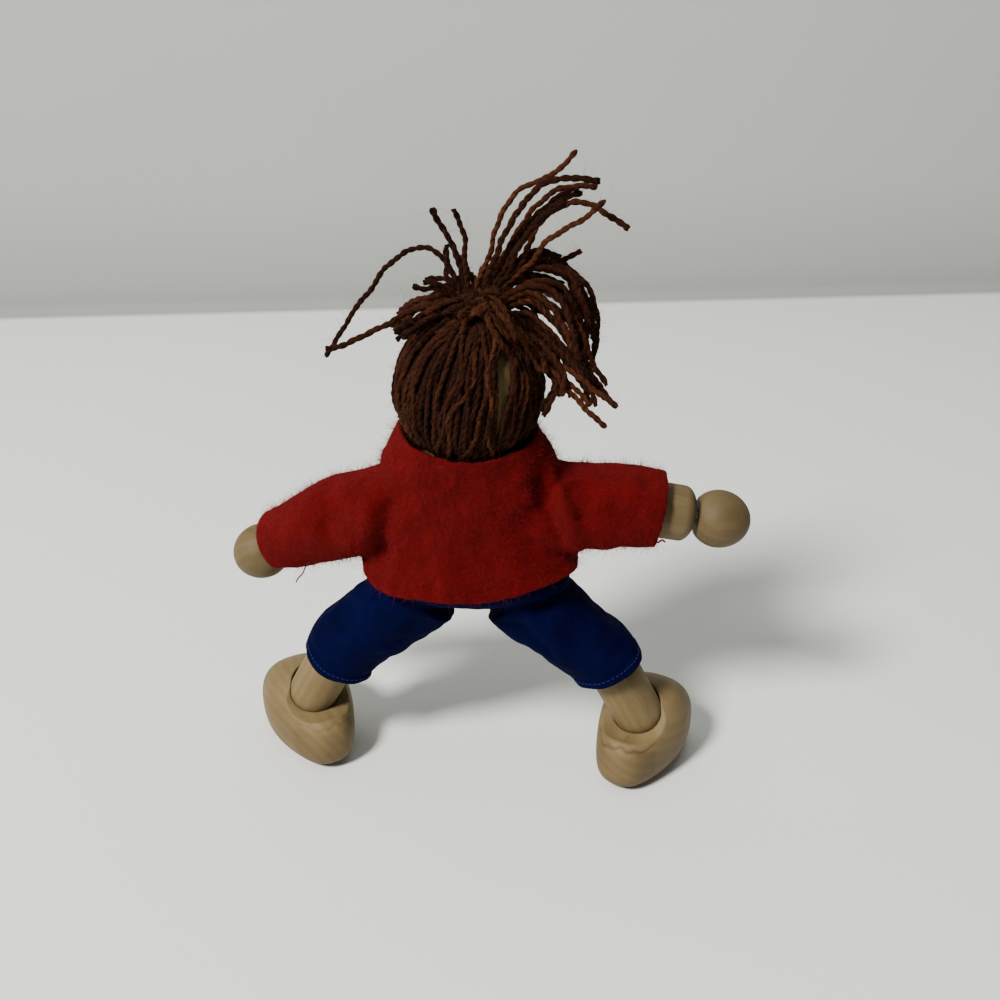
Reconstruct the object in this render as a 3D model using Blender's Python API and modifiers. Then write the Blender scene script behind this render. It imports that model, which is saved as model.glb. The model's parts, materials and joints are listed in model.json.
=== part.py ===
"""Bendy doll of wooden beads on bending wires, with yarn hair, a felt sweater and cotton trousers.

The doll stands on z = 0 and faces +Y, so its right side is +X. Lengths are in metres, angles in
degrees. Every limb hangs along its own -Z and is posed by nested empties, one in each gap between beads.
"""

import math

import bmesh
import bpy
from mathutils import Matrix, Vector

# Gaps and walls
CLEARANCE = 0.0003  # between two pieces that touch
OVERRUN = 0.002  # how far a cutter reaches past the face it opens
WELD = 0.00001  # points closer than this are one
FELT = 0.0012
COTTON = 0.0006

# Torso block
TORSO_WIDTH = 0.0280
TORSO_DEPTH = 0.0170
TORSO_HEIGHT = 0.0280
TORSO_POWER = 3.2
TORSO_SECTION_SHARES = (  # height, width, depth
    (0.0, 0.70, 0.66),
    (0.05, 0.87, 0.84),
    (0.13, 0.97, 0.96),
    (0.22, 1.0, 1.0),
    (0.78, 1.0, 1.0),
    (0.90, 0.93, 0.95),
    (0.97, 0.80, 0.84),
    (1.0, 0.66, 0.72),
)

# Neck and head
NECK_DIAMETER = 0.0060
NECK_SHOWN = 0.0025  # between the torso block and the head ball
NECK_SEAT = 0.0060  # depth of its hole in the torso block and in the head ball
HEAD_DIAMETER = 0.0240

# Wires
WIRE_DIAMETER = 0.0015
WIRE_SEAT = 0.0080  # length inside the torso block
WIRE_STOP = 0.0006  # space past the wire's end in a blind hole
BORE_RADIUS = WIRE_DIAMETER / 2 + CLEARANCE
END_FLAT = BORE_RADIUS + CLEARANCE  # radius of the narrow face round a bore

# Arms, from the shoulder outwards
SHOULDER_HEIGHT = 0.0180
SHOULDER_GAP = 0.0030
UPPER_ARM_LENGTH = 0.0105
UPPER_ARM_DIAMETER = 0.0108
ELBOW_GAP = 0.0025
FOREARM_LENGTH = 0.0126
FOREARM_DIAMETER = 0.0106
WRIST_GAP = 0.0006
HAND_LENGTH = 0.0102
HAND_DIAMETER = 0.0110
HAND_SEAT = 0.0060
ARM_END_SHARE = 0.32  # rounded length of an arm bead's end, of its diameter
HAND_FACE_SHARE = 0.62  # flat inner face, of the hand's radius
HAND_BACK_SHARE = 0.40  # of the hand's length, on the wrist's side of its widest ring

# Legs, from the hip downwards
HIP_SPACING = 0.0180
HIP_DROP = 0.0018  # hip joint below the torso block
HIP_GAP = 0.0030  # hip joint to thigh bead
THIGH_LENGTH = 0.0180
THIGH_DIAMETER = 0.0104
KNEE_GAP = 0.0025
SHIN_LENGTH = 0.0192
SHIN_DIAMETER = 0.0102
ANKLE_SEAT = 0.0038  # length of the wire inside the shoe
HIP_OVER_ANKLE = 0.0270  # height of the hip joint over the ankle

# Shoes
SHOE_LENGTH = 0.0275
SHOE_WIDTH = 0.0184
SHOE_HEIGHT = 0.0178
ANKLE_HEIGHT = 0.0140
HEEL_REACH = 0.0110  # heel end to ankle centre
SHOE_POWER = 2.5
SHOE_END_POWER = 0.62  # below 1 the ends are blunter than an egg's
SOLE_SINK_SHARE = 0.09  # of the height, cut off level to make the sole
HEEL_WIDTH_SHARE = 0.70
BALL_PLACE_SHARE = 0.64  # of the length, where the shoe is widest and highest
HEEL_HEIGHT_SHARE = 0.80
TOE_HEIGHT_SHARE = 0.92
LEDGE_HEIGHT = 0.0114
LEDGE_RADIUS = 0.0075
LEDGE_BACK = 0.0060  # lowest line of the ledge behind the ankle centre
ANKLE_LEAN = 25  # degrees, how far the shin can lean forwards in its seat

# Pose, in degrees: spread leads away from straight down, swing leads forwards
ARM_POSE = {
    "right": {"shoulder": (95, 0), "elbow": (-14, 0), "wrist": (0, 0)},
    "left": {"shoulder": (69, 8), "elbow": (-13, 10), "wrist": (0, 0)},
}
LEG_POSE = {"right": {"swing": -1.0, "knee": (-27, 1)}, "left": {"swing": 7.0, "knee": (-26, 1)}}
TOES_OUT = {"right": 29, "left": 29}
DOLL_YAW = -1.7
CROWN_LEAN = 8  # the gathered hair leans to the doll's right

# Hair
HAIR_THICKNESS = 0.00125
HAIR_RIBS = 24
HAIR_RIB_DEPTH = 0.00035
NAPE_SHARE = 0.933  # of the head's radius, from its centre down to the edge at the nape
NAPE_DROP = NAPE_SHARE * HEAD_DIAMETER / 2
FACE_WIDTH = 0.0184
FACE_HEIGHT = 0.0200
FACE_DROP = 0.0045
FACE_START = 0.0020
PARTING_WIDTH = 0.0026
PARTING_LENGTH = 0.0112
PARTING_DEPTH = 0.0052
PARTING_TURN = 30  # from straight back, towards the doll's right
PARTING_RISE = -18  # below straight back where it is positive
STEM_DIAMETER = 0.0044
STEM_HEIGHT = 0.0046
STEM_FLARE_SHARES = ((0.0, 1.25), (0.22, 1.0), (0.5, 1.0), (0.78, 1.35), (1.0, 1.15))  # height, radius
TIE_THICKNESS = 0.0011
STRAND_DIAMETER = 0.0014
TUFT_REACH = 0.0250
STRAND_POINTS = 6
STRAND_START_SHARE = 0.68  # of the stem's height, for the lowest strand's root
STRAND_STAGGER_SHARE = 0.22  # of the stem's height, between the lowest root and the highest
STRAND_ROOT_SHARE = 0.45  # of the stem's radius, from its middle to a root
STRAND_LEAN_SHARE = 0.12  # of the way out, at the first guide point
STRAND_LIFT_SHARE = 0.3  # of a climb, at the first guide point
STRAND_BEND_SHARE = 0.8  # of the way out, at the second guide point
STRAND_CLIMB_SHARE = 0.7  # of the climb or fall, at the second guide point
STRAND_SHARES = (  # tip to the right, forwards and up, and arch, all of the reach
    (-1.04, 0.10, -0.42, 0.55),
    (-1.00, -0.14, -0.40, 0.16),
    (-0.46, 0.06, 0.64, 0.10),
    (-0.22, -0.10, 0.68, 0.08),
    (-0.28, 0.22, 0.40, 0.10),
    (-0.50, -0.08, 0.08, 0.16),
    (-0.62, 0.12, -0.26, 0.24),
    (-0.44, 0.46, -0.12, 0.26),
    (0.50, 0.10, 1.02, 0.10),
    (0.62, -0.08, 0.84, 0.18),
    (0.52, 0.30, 0.78, 0.16),
    (0.86, 0.04, 0.58, 0.26),
    (0.60, -0.14, 0.44, 0.22),
    (0.86, 0.02, -0.44, 0.52),
    (0.74, 0.26, -0.42, 0.50),
    (0.98, -0.06, -0.70, 0.42),
    (0.86, -0.28, -0.76, 0.34),
    (0.94, 0.16, -0.88, 0.26),
    (0.66, 0.44, -0.34, 0.36),
    (0.36, -0.46, -0.10, 0.24),
    (-0.16, -0.54, -0.14, 0.26),
    (0.12, 0.62, 0.02, 0.28),
    (-0.20, 0.58, 0.10, 0.24),
    (0.32, 0.50, 0.40, 0.20),
)

# Sweater
SWEATER_EASE = 0.0012  # between torso block and felt at the sides
SWEATER_EASE_DEPTH = 0.0006
SWEATER_HEM_HEIGHT = 0.0031  # hem above the torso block's bottom
SWEATER_POWER = 2.4
COLLAR_DROP = 0.0078  # its side points below the head's centre
COLLAR_DIP = 0.0046  # front and back below the side points
DIP_START_SHARE = 0.55  # of the sweater's height
SWEATER_SECTION_SHARES = (  # height, width, depth
    (0.0, 1.33, 1.22),
    (0.09, 1.25, 1.18),
    (0.22, 1.11, 1.08),
    (0.36, 1.02, 1.02),
    (0.55, 1.0, 1.0),
    (0.74, 1.0, 1.0),
    (0.86, 0.92, 1.0),
)
HEM_FOLDS = 5
HEM_FOLD_DEPTH = 0.0005
SLEEVE_DIAMETER = 0.0160
CUFF_DIAMETER = 0.0148
SLEEVE_ROOT = 0.0070  # start inside the shoulder joint, before the body is cut out of it
SLEEVE_REACH = {"right": 0.0205, "left": 0.0262}  # shoulder joint to cuff along the arm

# Trousers
WAIST_EASE = 0.0008
WAIST_HEIGHT = 0.0085  # above the torso block's bottom
CROTCH_DROP = 0.0052  # below the torso block's bottom
SEAT_POWER = 2.3
SEAT_SECTION_SHARES = (  # height, width, depth
    (0.0, 0.20, 0.20),
    (0.04, 0.62, 0.62),
    (0.12, 0.98, 0.86),
    (0.24, 1.24, 0.98),
    (0.40, 1.38, 1.05),
    (0.52, 1.40, 1.06),
    (0.62, 1.30, 1.04),
    (0.76, 1.17, 1.01),
    (1.0, 1.0, 1.0),
)
LEG_TOP_DIAMETER = 0.0174
LEG_CUFF_DIAMETER = 0.0142
LEG_BAG = 0.0015  # the cloth's middle lies this far above the thigh bead's
LEG_BAG_KNEE_SHARE = 0.5  # of the bag, left at the knee
LEG_ROOT = 0.0020
LEG_REACH = 0.0278  # hip joint to cuff along the leg
CLOTH_EASE = 0.0030  # length over which a sleeve or leg turns a corner

# Facets
SHARP_ANGLE = 40  # faces that meet at less than this are shaded as one
BEAD_SIDES = 16
ARC_STEPS = 3
CORNER_STEPS = 3
BALL_SIDES = 24
BALL_RINGS = 12
SEAT_RINGS = 5
CLOTH_SIDES = 24
TUBE_SIDES = 16

SIDES = {"right": 1, "left": -1}

WOOD = ((0.62, 0.45, 0.28), 0.55, 0.0)
STEEL = ((0.45, 0.44, 0.42), 0.4, 1.0)
BROWN_YARN = ((0.055, 0.022, 0.010), 0.95, 0.0)
RED_FELT = ((0.33, 0.006, 0.010), 0.95, 0.0)
BLUE_COTTON = ((0.006, 0.014, 0.13), 0.85, 0.0)


# Scene, materials and placing

def clear_scene():
    for thing in list(bpy.data.objects):
        bpy.data.objects.remove(thing, do_unlink=True)


def new_collection(name):
    collection = bpy.data.collections.new(name)
    bpy.context.scene.collection.children.link(collection)
    return collection


def new_material(name, look):
    colour, roughness, metallic = look
    material = bpy.data.materials.new(name)
    material.use_nodes = True
    shader = material.node_tree.nodes["Principled BSDF"]
    shader.inputs["Base Color"].default_value = (*colour, 1)
    shader.inputs["Roughness"].default_value = roughness
    shader.inputs["Metallic"].default_value = metallic
    return material


def add_object(name, data, parent, look=None):
    """Link an object: a part with its own material if it has a look, otherwise a cutter."""
    thing = bpy.data.objects.new(name, data)
    thing.parent = parent
    if look:
        data.materials.append(new_material(name, look))
        doll.objects.link(thing)
    else:
        cutters.objects.link(thing)
        thing.hide_render = True
        thing.display_type = "WIRE"
    return thing


def add_empty(name, parent, place, turn=Matrix()):
    empty = bpy.data.objects.new(name, None)
    empty.empty_display_size = WIRE_DIAMETER
    empty.parent = parent
    empty.matrix_local = Matrix.Translation(place) @ turn
    doll.objects.link(empty)
    return empty


def limb_turn(side, angles):
    """Turn that spreads a hanging limb away from the body and swings it forwards."""
    spread, swing = angles
    outwards = Matrix.Rotation(-side * math.radians(spread), 4, "Y")
    return outwards @ Matrix.Rotation(math.radians(swing), 4, "X")


def place_in(frame, thing):
    """A point or empty of the doll in the coordinates of one of its empties."""
    bpy.context.view_layer.update()
    return frame.matrix_world.inverted() @ thing.matrix_world


# Forms

def smooth(mesh):
    mesh.shade_smooth()
    mesh.set_sharp_from_angle(angle=math.radians(SHARP_ANGLE))


def mesh_from(bm, name):
    mesh = bpy.data.meshes.new(name)
    bm.to_mesh(mesh)
    bm.free()
    return mesh


def turned(name, profile, parent, look, sides=BEAD_SIDES, closed=True):
    """A turned piece: the profile's (radius, height) points run down its outer side."""
    bm = bmesh.new()
    points = [bm.verts.new((radius, 0, height)) for radius, height in profile]
    for upper, lower in zip(points, points[1:]):
        bm.edges.new((upper, lower))
    if closed:
        bm.edges.new((points[-1], points[0]))
    thing = add_object(name, mesh_from(bm, name), parent, look)
    screw = thing.modifiers.new("turn", "SCREW")
    screw.steps = screw.render_steps = sides
    screw.use_merge_vertices = True
    screw.merge_threshold = WELD
    screw.use_smooth_shade = True
    return thing


def round_over(radius, flat, height, drop, rising):
    """Arc of an ellipse about the axis, from the edge of a flat end face to a bead's side."""
    first = math.asin(flat / radius)
    full = drop / math.cos(first)
    points = []
    for step in range(ARC_STEPS + 1):
        angle = first + (math.pi / 2 - first) * step / ARC_STEPS
        points.append((radius * math.sin(angle), height - drop + full * math.cos(angle)))
    if rising:
        points = [(out, 2 * height - level) for out, level in reversed(points)]
    return points


def skin(name, rings, capped):
    """Mesh over rings of points that turn left about the way from the first ring to the last."""
    bm = bmesh.new()
    rows = [[bm.verts.new(point) for point in ring] for ring in rings]
    for low, high in zip(rows, rows[1:]):
        for a, b, c, d in zip(low, low[1:] + low[:1], high[1:] + high[:1], high):
            bm.faces.new((a, b, c, d))
    if capped:
        bm.faces.new(reversed(rows[0]))
        bm.faces.new(rows[-1])
    mesh = mesh_from(bm, name)
    smooth(mesh)
    return mesh


def oval(half_width, half_depth, power, height, sides=CLOTH_SIDES):
    """Ring of a superellipse, level at the given height."""
    points = []
    for step in range(sides):
        angle = 2 * math.pi * step / sides
        across, along = math.cos(angle), math.sin(angle)
        x = half_width * math.copysign(abs(across) ** (2 / power), across)
        y = half_depth * math.copysign(abs(along) ** (2 / power), along)
        points.append(Vector((x, y, height)))
    return points


def tube_rings(path, radii, sides=TUBE_SIDES):
    """Round rings square to a path, each with its first point towards the doll's front."""
    rings = []
    for index, centre in enumerate(path):
        before, after = path[max(index - 1, 0)], path[min(index + 1, len(path) - 1)]
        way = (after - before).normalized()
        first = (Vector((0, 1, 0)) - way * way.y).normalized()
        second = way.cross(first)
        angles = [2 * math.pi * step / sides for step in range(sides)]
        rings.append([
            centre + radii[index] * (first * math.cos(angle) + second * math.sin(angle))
            for angle in angles
        ])
    return rings


def rounded_path(corners, ease, steps=CORNER_STEPS):
    """Points along straight runs whose corners are rounded over the length ease on each side."""
    points = [corners[0]]
    for before, corner, after in zip(corners, corners[1:], corners[2:]):
        start = corner + (before - corner).normalized() * ease
        end = corner + (after - corner).normalized() * ease
        for step in range(steps + 1):
            share = step / steps
            points.append(start.lerp(corner, share).lerp(corner.lerp(end, share), share))
    points.append(corners[-1])
    return points


def curve_tube(name, points, diameter, parent, look, resolution=2):
    """A wire or strand: a curve with a round bevel and filled ends."""
    curve = bpy.data.curves.new(name, "CURVE")
    curve.dimensions = "3D"
    curve.bevel_depth = diameter / 2
    curve.bevel_resolution = resolution
    curve.use_fill_caps = True
    spline = curve.splines.new("POLY")
    spline.points.add(len(points) - 1)
    for spot, point in zip(spline.points, points):
        spot.co = (*point, 1)
    return add_object(name, curve, parent, look)


def as_mesh(thing):
    """Swap a curve or a piece with modifiers for a plain closed mesh object of the same name."""
    graph = bpy.context.evaluated_depsgraph_get()
    mesh = bpy.data.meshes.new_from_object(thing.evaluated_get(graph))
    bm = bmesh.new()
    bm.from_mesh(mesh)
    bmesh.ops.remove_doubles(bm, verts=bm.verts, dist=WELD)
    bm.to_mesh(mesh)
    bm.free()
    name, parent, local = thing.name, thing.parent, thing.matrix_local.copy()
    bpy.data.objects.remove(thing)
    swapped = add_object(name, mesh, parent)
    swapped.matrix_local = local
    return swapped


def cylinder(name, radius, low, high, parent, sides=BEAD_SIDES):
    """Cutter along its parent's Z, between two heights."""
    bm = bmesh.new()
    place = Matrix.Translation((0, 0, (low + high) / 2))
    bmesh.ops.create_cone(
        bm, cap_ends=True, segments=sides, radius1=radius, radius2=radius, depth=high - low, matrix=place
    )
    return add_object(name, mesh_from(bm, name), parent)


def circle_points(radius, height, sides=BALL_SIDES):
    """Points round the Z axis at one height."""
    turns = [2 * math.pi * step / sides for step in range(sides)]
    return [Vector((radius * math.cos(turn), radius * math.sin(turn), height)) for turn in turns]


def ball(name, radius, parent, sides=BALL_SIDES, rings=BALL_RINGS):
    bm = bmesh.new()
    bmesh.ops.create_uvsphere(bm, u_segments=sides, v_segments=rings, radius=radius)
    return add_object(name, mesh_from(bm, name), parent)


def cut(thing, *tools, operation="DIFFERENCE"):
    for tool in tools:
        boolean = thing.modifiers.new(tool.name, "BOOLEAN")
        boolean.object = tool
        boolean.operation = operation
        boolean.solver = "EXACT"


def solidify(thing, thickness):
    shell = thing.modifiers.new("wall", "SOLIDIFY")
    shell.thickness = thickness
    shell.offset = -1
    shell.use_even_offset = True


# Beads and hands

def ball_drop(diameter):
    """Length of a bead's end that is part of a ball of its own diameter."""
    return math.sqrt((diameter / 2) ** 2 - END_FLAT ** 2)


def bead(name, length, diameter, start, parent, end_drop):
    """Bored bead along its parent's -Z, from start, with rounded ends."""
    radius = diameter / 2
    top, foot = -start, -start - length
    profile = [(BORE_RADIUS, top)]
    profile += round_over(radius, END_FLAT, top, end_drop, False)
    profile += round_over(radius, END_FLAT, foot, end_drop, True)
    profile.append((BORE_RADIUS, foot))
    return turned(name, profile, parent, WOOD)


def hand(name, parent):
    """Round hand bead with a flat inner face and a blind hole for the wire's end."""
    radius = HAND_DIAMETER / 2
    top = -WRIST_GAP / 2
    inner_drop = HAND_LENGTH * HAND_BACK_SHARE
    bore_end = top - HAND_SEAT - WIRE_STOP
    profile = [(0, bore_end), (BORE_RADIUS, bore_end), (BORE_RADIUS, top)]
    profile += round_over(radius, radius * HAND_FACE_SHARE, top, inner_drop, False)
    tip = round_over(radius, 0, top - HAND_LENGTH, HAND_LENGTH - inner_drop, True)
    profile += tip[1:]
    return turned(name, profile, parent, WOOD, closed=False)


# Torso, neck and head

def build_torso():
    rings = []
    for height, width, depth in TORSO_SECTION_SHARES:
        half_width, half_depth = TORSO_WIDTH / 2 * width, TORSO_DEPTH / 2 * depth
        rings.append(oval(half_width, half_depth, TORSO_POWER, TORSO_HEIGHT * height))
    block = add_object("torso_block", skin("torso_block", rings, True), torso, WOOD)
    hole = NECK_DIAMETER / 2 + CLEARANCE
    neck_hole = cylinder("neck_hole", hole, TORSO_HEIGHT - NECK_SEAT, TORSO_HEIGHT + OVERRUN, torso)
    cut(block, neck_hole)
    for side_name, side in SIDES.items():
        seat = add_empty("arm_hole_" + side_name, torso, (side * TORSO_WIDTH / 2, 0, SHOULDER_HEIGHT),
                         limb_turn(side, (90, 0)))
        arm_hole = cylinder("arm_bore_" + side_name, BORE_RADIUS, -OVERRUN, WIRE_SEAT + WIRE_STOP, seat)
        hip = add_empty("leg_hole_" + side_name, torso, (side * HIP_SPACING / 2, 0, 0))
        leg_hole = cylinder("leg_bore_" + side_name, BORE_RADIUS, -OVERRUN, WIRE_SEAT + WIRE_STOP, hip)
        cut(block, arm_hole, leg_hole)


def build_neck():
    radius = NECK_DIAMETER / 2
    low = TORSO_HEIGHT - NECK_SEAT + CLEARANCE
    high = TORSO_HEIGHT + NECK_SHOWN + NECK_SEAT - CLEARANCE
    edge = CLEARANCE
    profile = [(0, high), (radius - edge, high), (radius, high - edge)]
    profile += [(radius, low + edge), (radius - edge, low), (0, low)]
    turned("neck_dowel", profile, torso, WOOD, closed=False)


def build_head():
    radius = HEAD_DIAMETER / 2
    hole = NECK_DIAMETER / 2 + CLEARANCE
    last = math.acos(-math.sqrt(1 - (hole / radius) ** 2))
    profile = []
    for step in range(BALL_RINGS + 1):
        angle = last * step / BALL_RINGS
        profile.append((radius * math.sin(angle), radius * math.cos(angle)))
    hole_end = -radius + NECK_SEAT
    profile += [(hole, hole_end), (0, hole_end)]
    turned("head_ball", profile, head, WOOD, sides=BALL_SIDES, closed=False)


# Hair

def build_hair_cap():
    """Yarn laid from the nape up to the crown: a ribbed shell, open at the neck and the face."""
    outer = HEAD_DIAMETER / 2 + CLEARANCE + HAIR_THICKNESS
    bm = bmesh.new()
    bmesh.ops.create_uvsphere(bm, u_segments=2 * HAIR_RIBS, v_segments=BALL_RINGS, radius=outer)
    for vertex in bm.verts:
        turn = math.atan2(vertex.co.y, vertex.co.x)
        groove = 0.5 - 0.5 * math.cos(turn * HAIR_RIBS)
        vertex.co -= vertex.co.normalized() * HAIR_RIB_DEPTH * groove
    cap = add_object("hair_cap", mesh_from(bm, "hair_cap"), crown, BROWN_YARN)
    smooth(cap.data)
    inner = ball("hair_inside", HEAD_DIAMETER / 2 + CLEARANCE, crown)
    neck = cylinder("nape_opening", outer, -outer - OVERRUN, -NAPE_DROP, head, sides=BALL_SIDES)
    face_turn = Matrix.Rotation(math.pi / 2, 4, "X")
    face_seat = add_empty("face_seat", head, (0, FACE_START, -FACE_DROP), face_turn)
    face = cylinder("face_opening", FACE_WIDTH / 2, -outer - OVERRUN, 0, face_seat, sides=BALL_SIDES)
    face.scale.y = FACE_HEIGHT / FACE_WIDTH
    turn = Matrix.Rotation(math.radians(PARTING_TURN), 4, "Z")
    turn @= Matrix.Rotation(math.radians(PARTING_RISE), 4, "X")
    parting_seat = add_empty("parting_seat", head, turn @ Vector((0, -outer, 0)), turn)
    parting = ball("parting", PARTING_WIDTH / 2, parting_seat, sides=TUBE_SIDES, rings=BALL_RINGS // 2)
    parting.scale = (1, PARTING_DEPTH / PARTING_WIDTH, PARTING_LENGTH / PARTING_WIDTH)
    cut(cap, inner, neck, face, parting)


def strand_path(start, tip, arch):
    """Points of one loose strand: up out of the tie, then over in an arch to its tip."""
    out = Vector((tip.x, tip.y, 0))
    lift = max(tip.z, 0) * STRAND_LIFT_SHARE
    first = start + out * STRAND_LEAN_SHARE + Vector((0, 0, arch + lift))
    second = start + out * STRAND_BEND_SHARE + Vector((0, 0, arch + tip.z * STRAND_CLIMB_SHARE))
    end = start + tip
    points = []
    for step in range(STRAND_POINTS):
        share = step / (STRAND_POINTS - 1)
        a, b, c = start.lerp(first, share), first.lerp(second, share), second.lerp(end, share)
        points.append(a.lerp(b, share).lerp(b.lerp(c, share), share))
    return points


def build_hair_tuft():
    """The gathered bundle above the crown with its loose strands, joined to one body."""
    base = HEAD_DIAMETER / 2 + CLEARANCE + HAIR_THICKNESS + CLEARANCE
    radius = STEM_DIAMETER / 2
    profile = [(0, base + STEM_HEIGHT)]
    profile += [(radius * wide, base + STEM_HEIGHT * up) for up, wide in reversed(STEM_FLARE_SHARES)]
    profile.append((0, base))
    stem = turned("hair_tuft", profile, crown, BROWN_YARN, closed=False)
    for number, (right, forwards, up, arch) in enumerate(STRAND_SHARES):
        tip = Vector((right, forwards, up)) * TUFT_REACH
        climb = STRAND_START_SHARE + STRAND_STAGGER_SHARE * number / len(STRAND_SHARES)
        start = Vector((tip.x, tip.y, 0)).normalized() * radius * STRAND_ROOT_SHARE
        start.z = base + STEM_HEIGHT * climb
        points = strand_path(start, tip, arch * TUFT_REACH)
        strand = curve_tube(f"strand_{number}", points, STRAND_DIAMETER, crown, None, resolution=1)
        cut(stem, as_mesh(strand), operation="UNION")


def build_hair_tie():
    """Thread ring round the waist of the bundle."""
    base = HEAD_DIAMETER / 2 + HAIR_THICKNESS + 2 * CLEARANCE
    middle = base + STEM_HEIGHT * (STEM_FLARE_SHARES[1][0] + STEM_FLARE_SHARES[2][0]) / 2
    minor = TIE_THICKNESS / 2
    major = STEM_DIAMETER / 2 + CLEARANCE + minor
    sides = 2 * ARC_STEPS
    angles = [-2 * math.pi * step / sides for step in range(sides)]
    profile = [(major + minor * math.cos(angle), middle + minor * math.sin(angle)) for angle in angles]
    turned("hair_tie", profile, crown, BROWN_YARN)


# Limbs

def build_arm(side_name):
    side, pose = SIDES[side_name], ARM_POSE[side_name]
    reach = TORSO_WIDTH / 2 + SHOULDER_GAP / 2
    shoulder = add_empty("shoulder_" + side_name, torso, (side * reach, 0, SHOULDER_HEIGHT),
                         limb_turn(side, pose["shoulder"]))
    upper = SHOULDER_GAP / 2 + UPPER_ARM_LENGTH + ELBOW_GAP / 2
    elbow = add_empty("elbow_" + side_name, shoulder, (0, 0, -upper), limb_turn(side, pose["elbow"]))
    lower = ELBOW_GAP / 2 + FOREARM_LENGTH + WRIST_GAP / 2
    wrist = add_empty("wrist_" + side_name, elbow, (0, 0, -lower), limb_turn(side, pose["wrist"]))
    bead("upper_arm_" + side_name, UPPER_ARM_LENGTH, UPPER_ARM_DIAMETER, SHOULDER_GAP / 2, shoulder,
         ball_drop(UPPER_ARM_DIAMETER))
    bead("forearm_" + side_name, FOREARM_LENGTH, FOREARM_DIAMETER, ELBOW_GAP / 2, elbow,
         FOREARM_DIAMETER * ARM_END_SHARE)
    hand("hand_" + side_name, wrist)
    inner = Vector((side * (TORSO_WIDTH / 2 - WIRE_SEAT), 0, SHOULDER_HEIGHT))
    corners = [inner] + [place_in(torso, joint).translation for joint in (shoulder, elbow, wrist)]
    corners.append(place_in(torso, wrist) @ Vector((0, 0, -WRIST_GAP / 2 - HAND_SEAT)))
    points = rounded_path(corners, min(SHOULDER_GAP, ELBOW_GAP) / 2)
    curve_tube("arm_wire_" + side_name, points, WIRE_DIAMETER, torso, STEEL)
    return shoulder, elbow, wrist


def hip_spread(side, thigh, shin, swing):
    """Spread of a hip, in degrees, that sets the ankle at its depth; thigh and shin are its vectors."""
    leg = Matrix.Rotation(math.radians(swing), 4, "X") @ (thigh + shin)
    inwards, down = side * leg.x, -leg.z
    return math.degrees(math.acos(HIP_OVER_ANKLE / math.hypot(inwards, down)) - math.atan2(inwards, down))


def build_leg(side_name):
    side, pose = SIDES[side_name], LEG_POSE[side_name]
    upper = HIP_GAP + THIGH_LENGTH + KNEE_GAP / 2
    lower = KNEE_GAP / 2 + SHIN_LENGTH - ball_drop(SHIN_DIAMETER)
    knee_turn = limb_turn(side, pose["knee"])
    spread = hip_spread(side, Vector((0, 0, -upper)), knee_turn @ Vector((0, 0, -lower)), pose["swing"])
    hip = add_empty("hip_" + side_name, torso, (side * HIP_SPACING / 2, 0, -HIP_DROP),
                    limb_turn(side, (spread, pose["swing"])))
    knee = add_empty("knee_" + side_name, hip, (0, 0, -upper), knee_turn)
    ankle = add_empty("ankle_" + side_name, knee, (0, 0, -lower))
    bead("thigh_" + side_name, THIGH_LENGTH, THIGH_DIAMETER, HIP_GAP, hip, ball_drop(THIGH_DIAMETER))
    bead("shin_" + side_name, SHIN_LENGTH, SHIN_DIAMETER, KNEE_GAP / 2, knee, ball_drop(SHIN_DIAMETER))
    return hip, knee, ankle


def shoe_share(place, heel, toe):
    """Smooth rise from the heel's share to the ball of the foot and fall to the toe's."""
    if place < BALL_PLACE_SHARE:
        way, end = place / BALL_PLACE_SHARE, heel
    else:
        way, end = (1 - place) / (1 - BALL_PLACE_SHARE), toe
    return end + (1 - end) * way * way * (3 - 2 * way)


def shoe_form():
    """Ball stretched to a clog: heel towards -Y, level sole, and its origin at the ankle's centre."""
    bm = bmesh.new()
    bmesh.ops.create_uvsphere(bm, u_segments=BALL_SIDES, v_segments=BALL_RINGS, radius=1)
    for vertex in bm.verts:
        place = (vertex.co.z + 1) / 2
        fullness = math.hypot(vertex.co.x, vertex.co.y) ** SHOE_END_POWER
        angle = math.atan2(vertex.co.y, -vertex.co.x)
        across, up = math.cos(angle), math.sin(angle)
        half_width = SHOE_WIDTH / 2 * shoe_share(place, HEEL_WIDTH_SHARE, 1)
        full = shoe_share(place, HEEL_HEIGHT_SHARE, TOE_HEIGHT_SHARE)
        half_height = SHOE_HEIGHT * (1 + SOLE_SINK_SHARE) / 2 * full
        middle = half_height - SHOE_HEIGHT * SOLE_SINK_SHARE
        x = half_width * fullness * math.copysign(abs(across) ** (2 / SHOE_POWER), across)
        z = middle + half_height * fullness * math.copysign(abs(up) ** (2 / SHOE_POWER), up)
        vertex.co = (x, SHOE_LENGTH * place - HEEL_REACH, max(z, 0) - ANKLE_HEIGHT)
    mesh = mesh_from(bm, "shoe")
    smooth(mesh)
    return mesh


def seat_form(radius, lean):
    """Room for the shin's foot: a round bottom with two ways out, upright and leant forwards."""
    spots = [Vector((0, 0, -radius))]
    for ring in range(SEAT_RINGS):
        tilt = math.pi / 2 * ring / SEAT_RINGS
        spots += circle_points(radius * math.cos(tilt), -radius * math.sin(tilt))
    for turn in (Matrix(), lean):
        spots += [turn @ spot for spot in circle_points(radius, SHOE_HEIGHT)]
    bm = bmesh.new()
    for spot in spots:
        bm.verts.new(spot)
    hull = bmesh.ops.convex_hull(bm, input=bm.verts)
    bmesh.ops.delete(bm, geom=hull["geom_interior"], context="VERTS")
    return mesh_from(bm, "ankle_seat")


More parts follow.
